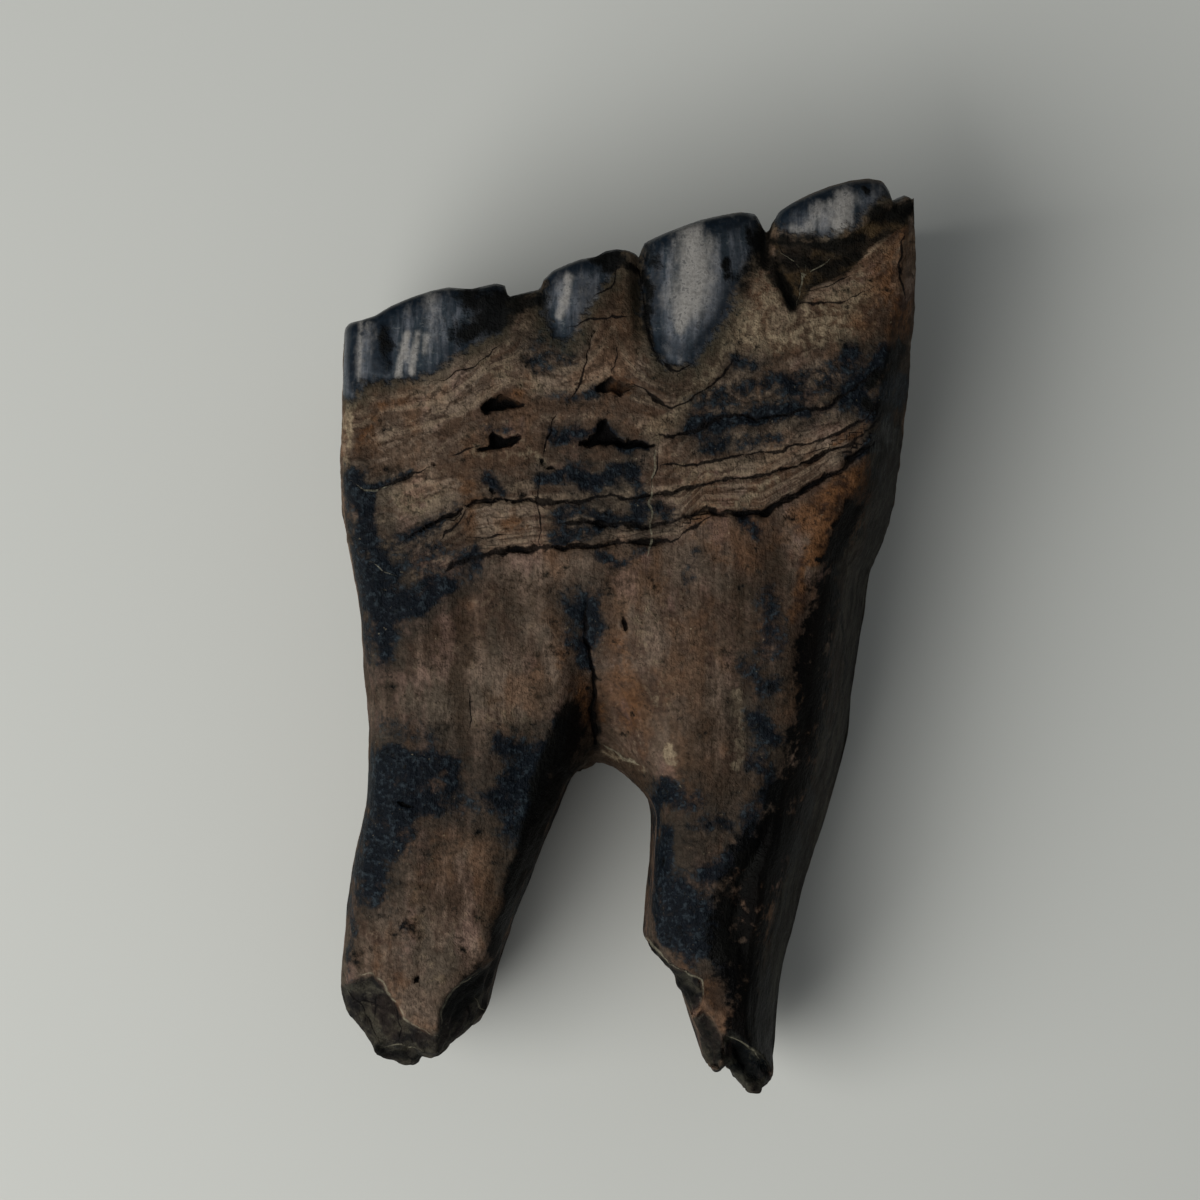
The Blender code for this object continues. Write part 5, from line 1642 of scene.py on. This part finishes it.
# %% Paints
FULL_LIGHT = 0.65
PAINTS = {
    # cement, its fibres and its layers
    "dark cement": (64, 52, 43), "light cement": (100, 87, 75), "root brown": (46, 33, 28),
    "grain shadow": (46, 33, 26), "grain light": (110, 92, 80), "fibre": (46, 35, 28),
    "fine shadow": (42, 35, 28), "fine light": (118, 103, 86), "warm brown": (90, 66, 48),
    "cool grey": (52, 48, 41), "pink": (104, 82, 74), "dark layer": (54, 40, 30),
    "light layer": (108, 94, 78), "layer line": (28, 21, 16), "craze": (36, 29, 23),
    # stains and dirt, and the paints of painted shade and painted sheen
    "deep brown": (36, 27, 19), "dark cream": (82, 70, 56), "cream": (118, 105, 86),
    "dark rust": (32, 18, 10), "rust": (84, 56, 34), "smoke": (35, 32, 28),
    "blue black": (5, 10, 16), "slate blue": (31, 38, 43), "dark speck": (20, 18, 15),
    "pale speck": (130, 120, 98), "satin black": (3, 3, 2), "satin grey": (36, 36, 31),
    "band black": (2, 2, 2), "dark olive": (12, 12, 9), "olive": (52, 41, 26), "soot_and_shade": (8, 8, 7),
    # enamel, with painted highlight in its streaks and painted dark reflection in its navy
    "film": (46, 44, 35), "slate": (34, 41, 47), "light slate": (78, 81, 87), "navy": (3, 12, 21),
    "streak_and_highlight": (122, 119, 115), "fleck": (22, 25, 28), "crust": (88, 91, 92),
    # the worn end and the breaks, with the black of cracks and of painted shadow in slits and hollows
    "worn cement": (52, 42, 33), "worn dentine": (70, 56, 42), "worn stain": (30, 26, 22),
    "ridge slate": (34, 40, 46), "ridge light": (92, 95, 98), "dark rubble": (9, 12, 14),
    "rubble": (40, 39, 33), "crumb": (78, 76, 66), "hollow": (6, 7, 7), "crack_and_shadow": (7, 6, 6),
    "thread": (112, 108, 92),
}


def paint(name):
    """A picture colour, 0 to 255, as the light it stands for where the light is full."""
    shown = np.array(PAINTS[name]) / 255.0
    light = np.where(shown <= 0.04045, shown / 12.92, ((shown + 0.055) / 1.055) ** 2.4)
    return (*(light / FULL_LIGHT), 1.0)


print("paints:", len(PAINTS))

# %% Nodes of a finish


class Finish:
    """A material with a Principled shader."""

    def __init__(self, name):
        self.material = bpy.data.materials.new(name)
        self.material.use_nodes = True
        self.tree = self.material.node_tree
        self.shader = self.tree.nodes["Principled BSDF"]

    def fill(self, node, inputs):
        for key, value in inputs.items():
            if isinstance(value, Amount):
                self.tree.links.new(value.socket, node.inputs[key])
            else:
                node.inputs[key].default_value = value

    def node(self, kind, settings=None, inputs=None, out=0):
        node = self.tree.nodes.new(kind)
        for key, value in (settings or {}).items():
            setattr(node, key, value)
        self.fill(node, inputs or {})
        return Amount(self, node.outputs[out])

    def amount(self, name):
        """The number that the mesh's points hold under this name."""
        return self.node("ShaderNodeAttribute", {"attribute_name": name}, out="Fac")

    def ramp(self, value, low, high):
        """0 at low and 1 at high, smooth between them and level beyond."""
        return self.node("ShaderNodeMapRange", {"interpolation_type": "SMOOTHSTEP"},
                         {0: value, 1: low, 2: high, 3: 0.0, 4: 1.0})

    def stretch(self, vector, by):
        return self.node("ShaderNodeVectorMath", {"operation": "MULTIPLY"}, {0: vector, 1: by})

    def scaled(self, vector, by):
        return self.node("ShaderNodeVectorMath", {"operation": "SCALE"}, {0: vector, "Scale": by})

    def shift(self, vector, size):
        """A smooth random vector from -0.5 to 0.5, with this size in millimetres."""
        numbers = self.node("ShaderNodeTexNoise", {},
                            {"Vector": vector, "Scale": 1.0 / (size * MM), "Detail": 2.0}, out="Color")
        return self.node("ShaderNodeVectorMath", {"operation": "SUBTRACT"},
                         {0: numbers, 1: (0.5, 0.5, 0.5)})

    def noise(self, vector, size, detail=3.0, roughness=0.55):
        """Noise from about 0.25 to 0.75, with this size in millimetres."""
        return self.node("ShaderNodeTexNoise", {},
                         {"Vector": vector, "Scale": 1.0 / (size * MM), "Detail": detail,
                          "Roughness": roughness})

    def blend(self, share, first, second):
        """Colour between two colours."""
        return self.node("ShaderNodeMix", {"data_type": "RGBA"}, {0: share, 6: first, 7: second}, out=2)

    def between(self, share, first, second):
        """Colour between two paints."""
        return self.blend(share, paint(first), paint(second))

    def coat(self, under, share, name):
        """A colour, covered by this share of a paint."""
        return self.blend(share, under, paint(name))


# %% [markdown]
# ## The fossil's finish
#
# One material covers the tooth, since its tissues pass into one another. It is built up like the
# real thing: cement, then the stains that soaked into it, the enamel that it leaves bare, the worn
# end, the breaks, and last the cracks. Every coat is an amount from the mesh, pushed past a
# threshold by noise, so that no edge is smooth. The coats share one set of noises, from patches
# some millimetres wide to grit of a tenth of a millimetre, and from round to drawn out lengthwise.

# %% Noises that the coats share
LENGTHWISE, VERY_LENGTHWISE = (1.0, 0.12, 1.0), (1.0, 0.09, 1.0)


def noises(f):
    """The fields of noise by name, and the places that they are read at."""
    here = f.node("ShaderNodeTexCoord", out="Object")
    along = f.stretch(here, LENGTHWISE)
    return SimpleNamespace(
        here=here,
        broad=f.noise(here, 4.5, 3.0),
        patchy=f.noise(here, 1.3, 4.0, 0.6),
        fine=f.noise(here, 0.42, 4.0, 0.62),
        crumb=f.noise(here, 0.2, 2.5, 0.6),
        grit=f.noise(here, 0.09, 2.0, 0.6),
        fibre=f.noise(along, 0.16, 3.0, 0.6),
        shades=f.noise(along, 0.6, 4.0, 0.6),
        grain=f.noise(f.stretch(here, VERY_LENGTHWISE), 0.9, 5.0, 0.6),
    )


# %% [markdown]
# Cement is a bony crust, laid down in layers as the tooth grew. On the crown the layers end one
# below the other, and show as bands and dark lines that follow the growth share. On the roots the
# surface is fibrous instead, with streaks along them. Old cement is crazed all over.

# %% Cement


def bare_cement(f, n, layer):
    """Pinkish tan, with streaks and fibres along the roots, and warm, cool and pink zones."""
    cement = f.between(f.ramp(n.broad * 0.6 + n.patchy * 0.4, 0.44, 0.56), "dark cement", "light cement")
    root = 1.0 - f.ramp(layer, 0.98, 0.9) * 0.85
    cement = f.coat(cement, root * 0.36, "root brown")
    cement = f.coat(cement, root * f.ramp(n.grain, 0.5, 0.38) * 0.5, "grain shadow")
    cement = f.coat(cement, root * f.ramp(n.grain, 0.52, 0.66) * 0.5, "grain light")
    cement = f.coat(cement, root * f.ramp(n.fibre, 0.52, 0.7) * 0.2, "fibre")
    cement = f.coat(cement, f.ramp(n.fine, 0.46, 0.32) * 0.4, "fine shadow")
    cement = f.coat(cement, f.ramp(n.fine, 0.54, 0.68) * 0.32, "fine light")
    zone = f.noise(f.stretch(n.here, (1.0, 0.6, 1.0)), 2.6, 4.0, 0.6)
    cement = f.coat(cement, f.ramp(zone, 0.5, 0.62) * 0.45, "warm brown")
    cement = f.coat(cement, f.ramp(zone, 0.47, 0.36) * 0.55, "cool grey")
    tint = f.noise(f.stretch(n.here, (1.0, 0.4, 1.0)), 1.9, 3.0, 0.6)
    return f.coat(cement, f.ramp(tint, 0.54, 0.66) * 0.4, "pink")


def growth_layers(f, n, cement, layer):
    """Bands of noise across the growth share, and a thin line at each step of a saw-tooth in it."""
    inside = f.ramp(layer, 0.01, 0.06) * (1.0 - f.ramp(layer, 0.9, 0.99))
    across = f.node("ShaderNodeCombineXYZ", {},
                    {0: layer * 0.02, 1: n.broad * 0.004, 2: n.patchy * 0.0014})
    bands = f.noise(across, 0.9, 4.0, 0.65)
    cement = f.coat(cement, inside * f.ramp(bands, 0.49, 0.58) * 0.6, "dark layer")
    cement = f.coat(cement, inside * f.ramp(bands, 0.49, 0.4) * 0.5, "light layer")
    saw = (layer * float(LAYERS) + n.patchy * 2.4 + n.broad * 2.4) % 1.0
    line = f.ramp(abs(saw - 0.5), 0.15, 0.02) * f.ramp(n.fine * 0.5 + n.broad * 0.5, 0.42, 0.54)
    return f.coat(cement, inside * line * 0.65, "layer line")


def crazing(f, n):
    """1 on the edges of small jagged cells, in patches."""
    jagged = f.node("ShaderNodeVectorMath", {"operation": "ADD"},
                    {0: f.stretch(n.here, (1.0, 0.55, 1.0)), 1: f.scaled(f.shift(n.here, 0.5), 0.5 * MM)})
    edge = f.node("ShaderNodeTexVoronoi", {"feature": "DISTANCE_TO_EDGE"},
                  {"Vector": jagged, "Scale": 1.0 / (0.55 * MM)})
    return f.ramp(edge, 0.09, 0.02) * f.ramp(n.patchy * 0.5 + n.fine * 0.5, 0.47, 0.58)


# %% [markdown]
# Water carried iron and manganese into the tooth. Iron is rust, dark where it is thick. Manganese
# is a blue-black ink with a brown halo. Beyond the ridge on the right the side turns away from the
# light: a black strip there is painted shade, and a grey strip with streaks beyond it is painted sheen.

# %% Stains


def stained(f, n, cement):
    """Deeper brown, partly painted shade, then cream, rust, ink and specks over the cement. Also how much
    rust and ink.
    """
    hidden = 1.0 - f.amount("top")
    # deeper brown: partly the cement's own tone, partly painted shade along edges and hollows
    shade = f.ramp(f.amount("shade") + (n.patchy - 0.5) * 1.3 + (n.fine - 0.5) * 0.8, -0.1, 0.8)
    cement = f.coat(cement, shade * 0.82, "deep brown")
    pale = f.ramp(f.amount("pale") + (n.patchy - 0.5) * 1.6 + (n.fine - 0.5) * 1.4, 0.2, 0.8)
    cream = f.between(f.ramp(n.fine, 0.42, 0.58), "dark cream", "cream")
    cement = f.blend(pale * 0.75, cement, cream)
    hidden_rust = hidden * f.ramp(n.broad, 0.5, 0.66) * 0.7
    rust = f.ramp((f.amount("rust") | hidden_rust) + (n.patchy - 0.5) + (n.fine - 0.5) * 0.6, 0.0, 1.0)
    iron = f.between(f.ramp(n.patchy * 0.6 + n.fine * 0.4, 0.43, 0.58), "dark rust", "rust")
    cement = f.blend(rust * 0.82, cement, iron)
    hidden_ink = hidden * f.ramp(f.noise(n.here, 5.5, 4.0, 0.6), 0.46, 0.68) * 0.8
    spread = (n.patchy - 0.5) * 1.5 + (n.fine - 0.5) * 1.3 + (n.crumb - 0.5) * 0.4
    halo = f.ramp((f.amount("smoke") | hidden_ink) + spread * 0.8, 0.05, 1.0)
    cement = f.coat(cement, halo * 0.8, "smoke")
    ink = f.ramp((f.amount("ink") | hidden_ink) * 1.2 + spread, 0.2, 0.95)
    pigment = f.between(f.ramp(n.fine * 0.6 + n.crumb * 0.4, 0.49, 0.64), "blue black", "slate blue")
    cement = f.blend(ink * 0.95, cement, pigment)
    cement = f.coat(cement, f.ramp(f.noise(n.here, 0.5, 5.0, 0.7), 0.6, 0.68) * 0.7, "dark speck")
    cement = f.coat(cement, f.ramp(f.noise(n.here, 0.28, 3.0, 0.7), 0.67, 0.76) * 0.35, "pale speck")
    return cement, rust, ink


def banded(f, n, cement):
    """The painted sheen and the painted shade along the right side. Also how much there is of each."""
    # painted sheen: grey streaks that stand for the light the right side reflects
    painted_sheen = f.ramp(f.amount("painted_sheen") + (n.fibre - 0.5) * 1.2 + (n.patchy - 0.5) * 0.6, 0.2, 0.75)
    streaks = f.between(f.ramp(n.grain * 0.5 + n.fibre * 0.5, 0.47, 0.58), "satin black", "satin grey")
    cement = f.blend(painted_sheen * 0.88, cement, streaks)
    # painted shade: near black where the right side turns away from the light
    painted_shade_band = f.ramp(f.amount("painted_shade_band") + (n.patchy - 0.5) * 2.2 + (n.fine - 0.5) * 1.8, 0.2, 0.75)
    return f.coat(cement, painted_shade_band * 0.98, "band black"), painted_sheen, painted_shade_band


# %% [markdown]
# Enamel is glassy and slate, and navy along its rims: partly its stain, partly a painted dark
# reflection in the glossy rims. Pale streaks run along each column, partly pale enamel and partly
# painted highlight, with dark flecks on them and traces of cement between.
# Round it the cement thins to a dirty film before it ends.

# %% Enamel


def enamel_glaze(f, n, enamel):
    """Slate, navy near the rims and the sides, partly a painted dark reflection, then pale streaks, partly
    painted highlight, dark flecks and crust.
    """
    glaze = f.between(f.ramp(n.shades, 0.38, 0.66), "slate", "light slate")
    # navy: the enamel's stain, and partly a painted dark reflection in the glossy rims
    deep = f.ramp(f.amount("rim") + (n.patchy - 0.5) * 30.0, 30.0, 6.0)
    deep = deep | f.ramp(enamel + (n.patchy - 0.5) * 16.0, 16.0, 1.0) * 0.8
    deep = deep | f.ramp(f.amount("blue") + (n.shades - 0.5) * 1.2, 0.1, 0.9)
    glaze = f.coat(glaze, deep * 0.95, "navy")
    # pale streaks: pale enamel, and partly a painted highlight where the columns catch the light
    streak_and_highlight = f.ramp(f.amount("streak_and_highlight") + (n.shades - 0.5) * 1.4 + (n.fine - 0.5) * 0.8, 0.0, 1.15)
    glaze = f.coat(glaze, streak_and_highlight * 0.95, "streak_and_highlight")
    glaze = f.coat(glaze, f.ramp(f.noise(n.here, 0.26, 3.0, 0.65), 0.53, 0.68) * 0.6, "fleck")
    crust = f.ramp(f.noise(f.stretch(n.here, (0.5, 1.0, 1.0)), 0.3, 4.0, 0.7), 0.57, 0.66)
    return f.coat(glaze, crust * (1.0 - streak_and_highlight) * (1.0 - deep) * 0.4, "crust")


def enamelled(f, n, cement):
    """Cement that thins to a film and ends at the enamel. Also how bare the enamel is."""
    enamel = f.amount("enamel")
    film = f.ramp(enamel + (n.patchy - 0.5) * 20.0 + (n.fine - 0.5) * 16.0, -20.0, -1.0)
    cement = f.coat(cement, film * 0.62, "film")
    bare = f.ramp(enamel + (n.patchy - 0.5) * 26.0 + (n.fine - 0.5) * 26.0, -5.0, 6.0)
    return f.blend(bare, cement, enamel_glaze(f, n, enamel)), bare


# %% [markdown]
# The worn end shows all three tissues: the enamel ridge, dentine inside its loop and cement
# outside. The breaks are dark and crumbly, the lost flake has left an olive scar, and the notches
# and hollows are black, partly with dirt and partly with painted shade.

# %% Hollows, worn end, breaks and cracks


def hollowed(f, n, skin):
    """Olive on the lost flake, and dirt and painted shade in the black places. Also how black it is."""
    flake = f.ramp(f.amount("flake") + (n.fine - 0.5) * 0.8, 0.3, 0.7)
    scar = f.between(f.ramp(n.patchy, 0.46, 0.62), "dark olive", "olive")
    skin = f.blend(flake * 0.88, skin, scar)
    black = f.ramp(f.amount("black") + (n.patchy - 0.5) * 1.3 + (n.fine - 0.5), 0.2, 0.85)
    # black places: dirt and painted shade
    return f.coat(skin, black * 0.95, "soot_and_shade"), black


def worn_face(f, n):
    """Dentine where the loop's depth is positive, cement outside, enamel near zero: the ridge."""
    loop = f.amount("loop")
    ridge = f.ramp(abs(loop + (n.patchy - 0.5) * 0.3), 0.62, 0.45)
    soft = f.between(f.ramp(loop, -0.2, 0.2), "worn cement", "worn dentine")
    soft = f.coat(soft, f.ramp(n.patchy, 0.45, 0.65) * 0.7, "worn stain")
    return f.blend(ridge, soft, f.between(f.ramp(n.shades, 0.4, 0.65), "ridge slate", "ridge light")), ridge


def rubble(f, n, black):
    """Dark rubble with pale crumbs, black in its hollows with dirt and painted shade."""
    broken = f.between(f.ramp(n.patchy, 0.44, 0.62), "dark rubble", "rubble")
    broken = f.coat(broken, f.ramp(n.fine, 0.58, 0.7) * 0.35, "crumb")
    return f.coat(broken, black, "hollow")


def lined_skin(f, n, skin, rust):
    """Dark lines of cracks and of painted shadow under lips, and slits painted black as shadow, which rust
    fills in part, and pale threads. Also the slits' depth.
    """
    beside = abs(f.amount("dark_side") + (n.fine - 0.5) * 3.0) + (n.patchy - 0.5) * 4.0
    line = f.ramp(f.amount("dark_near"), 9.0, 5.0) * f.ramp(beside, 1.15, 0.35)
    slit = f.ramp(f.amount("slit") + (n.fine - 0.5) * 1.2 + (n.patchy - 0.5), 0.25, 0.85)
    # painted shadow under lips and in slits and pits, and the dark lines of cracks
    skin = f.coat(skin, (line * 0.92) | (slit * (1.0 - rust * 0.6)), "crack_and_shadow")
    beside = abs(f.amount("pale_side") + (n.fine - 0.5) * 1.2)
    thread = f.ramp(f.amount("pale_near"), 9.0, 5.0) * f.ramp(beside, 1.1, 0.5)
    return f.coat(skin, thread * f.ramp(n.fine, 0.36, 0.56) * 0.5, "thread"), slit


# %% [markdown]
# Last come the gloss and the finest relief. Bare enamel is smooth and has a coat of its own, ink
# and the strips of painted shade and painted sheen are less rough, and the rest is dull. The bump
# is only for grain too fine for the mesh.

# %% Mix the fossil finish
BUMP_HEIGHT = 0.24
GLAZE_COAT, GLAZE_COAT_ROUGHNESS, REFLECTION = 0.28, 0.12, 0.04


def fossil_finish():
    """Cement, stains, enamel and breaks in one Principled shader."""
    f = Finish("fossil_tooth")
    n, layer, worn = noises(f), f.amount("layer"), f.amount("worn")
    cement = growth_layers(f, n, bare_cement(f, n, layer), layer)
    craze = crazing(f, n)
    cement, rust, ink = stained(f, n, f.coat(cement, craze * 0.16, "craze"))
    cement, painted_sheen, painted_shade_band = banded(f, n, cement)
    skin, bare = enamelled(f, n, cement)
    skin, black = hollowed(f, n, skin)
    face, ridge = worn_face(f, n)
    skin = f.blend(worn, skin, face)
    skin = f.blend(f.amount("broken") * 0.9, skin, rubble(f, n, black))
    skin, slit = lined_skin(f, n, skin, rust)
    skin = f.scaled(skin, 0.74 + 0.48 * f.ramp(f.noise(n.here, 0.26, 3.0, 0.6), 0.34, 0.66))
    hard = bare * (1.0 - black) * (1.0 - worn) | (worn * ridge)
    rough = 0.72 - 0.18 * ink - 0.12 * painted_shade_band - 0.16 * painted_sheen + (n.grit - 0.5) * 0.25 - hard * 0.36
    relief = n.fibre * 0.22 + n.fine * 0.55 + n.crumb * 0.34 + n.grit * 0.1 - craze * 0.08
    relief = relief * (1.0 - hard * 0.85) * (1.0 - painted_sheen * 0.6) - slit * 0.6
    bump = f.node("ShaderNodeBump", {},
                  {"Strength": 1.0, "Distance": BUMP_HEIGHT * MM, "Height": relief})
    f.fill(f.shader, {"Base Color": skin, "Roughness": rough, "Normal": bump,
                      "Coat Weight": hard * GLAZE_COAT, "Coat Roughness": GLAZE_COAT_ROUGHNESS,
                      "Specular IOR Level": REFLECTION})
    return f.material


tooth.data.materials.clear()
tooth.data.materials.append(fossil_finish())
print("nodes in the finish:", len(tooth.data.materials[0].node_tree.nodes))

# %% [markdown]
# ## Table and light
#
# A plain pale table and one large soft light from the left, as by a window, with a dim even sky.
# The light is about as wide as it is far away, so that shadows are soft and fade within a
# centimetre or two.

# %% Table, light and sky
TABLE_REACH = 1.5
TABLE_COLOUR, TABLE_ROUGHNESS = (0.62, 0.63, 0.60, 1.0), 0.6
LIGHT_PLACE, LIGHT_SIZE, LIGHT_WATTS = (-0.24, -0.13, 0.235), 0.34, 1.46
LIGHT_COLOUR = (1.0, 0.99, 0.96)
SKY_COLOUR, SKY_STRENGTH = (0.94, 0.98, 1.0, 1.0), 0.19


def make_table():
    """A square at height zero, much wider than the picture."""
    corners = [(-TABLE_REACH, -TABLE_REACH, 0), (TABLE_REACH, -TABLE_REACH, 0),
               (TABLE_REACH, TABLE_REACH, 0), (-TABLE_REACH, TABLE_REACH, 0)]
    mesh = bpy.data.meshes.new("table")
    mesh.from_pydata(corners, [], [(0, 1, 2, 3)])
    table = bpy.data.objects.new("table", mesh)
    bpy.context.scene.collection.objects.link(table)
    top = Finish("pale_table")
    top.fill(top.shader, {"Base Color": TABLE_COLOUR, "Roughness": TABLE_ROUGHNESS})
    mesh.materials.append(top.material)


def make_light():
    """An area light that faces the tooth, and an even sky."""
    data = bpy.data.lights.new("window", "AREA")
    data.size, data.energy, data.color = LIGHT_SIZE, LIGHT_WATTS, LIGHT_COLOUR
    light = bpy.data.objects.new("window", data)
    bpy.context.scene.collection.objects.link(light)
    light.location = LIGHT_PLACE
    light.rotation_euler = (-light.location).to_track_quat("-Z", "Y").to_euler()
    sky = bpy.data.worlds.new("sky")
    bpy.context.scene.world = sky
    sky.use_nodes = True
    background = sky.node_tree.nodes["Background"]
    background.inputs["Color"].default_value = SKY_COLOUR
    background.inputs["Strength"].default_value = SKY_STRENGTH


make_table()
make_light()
bpy.context.scene.view_settings.view_transform = "Standard"
print("table, light and sky are in place")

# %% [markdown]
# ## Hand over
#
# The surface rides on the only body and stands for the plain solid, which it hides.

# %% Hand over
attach(tooth, "root")
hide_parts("tooth")
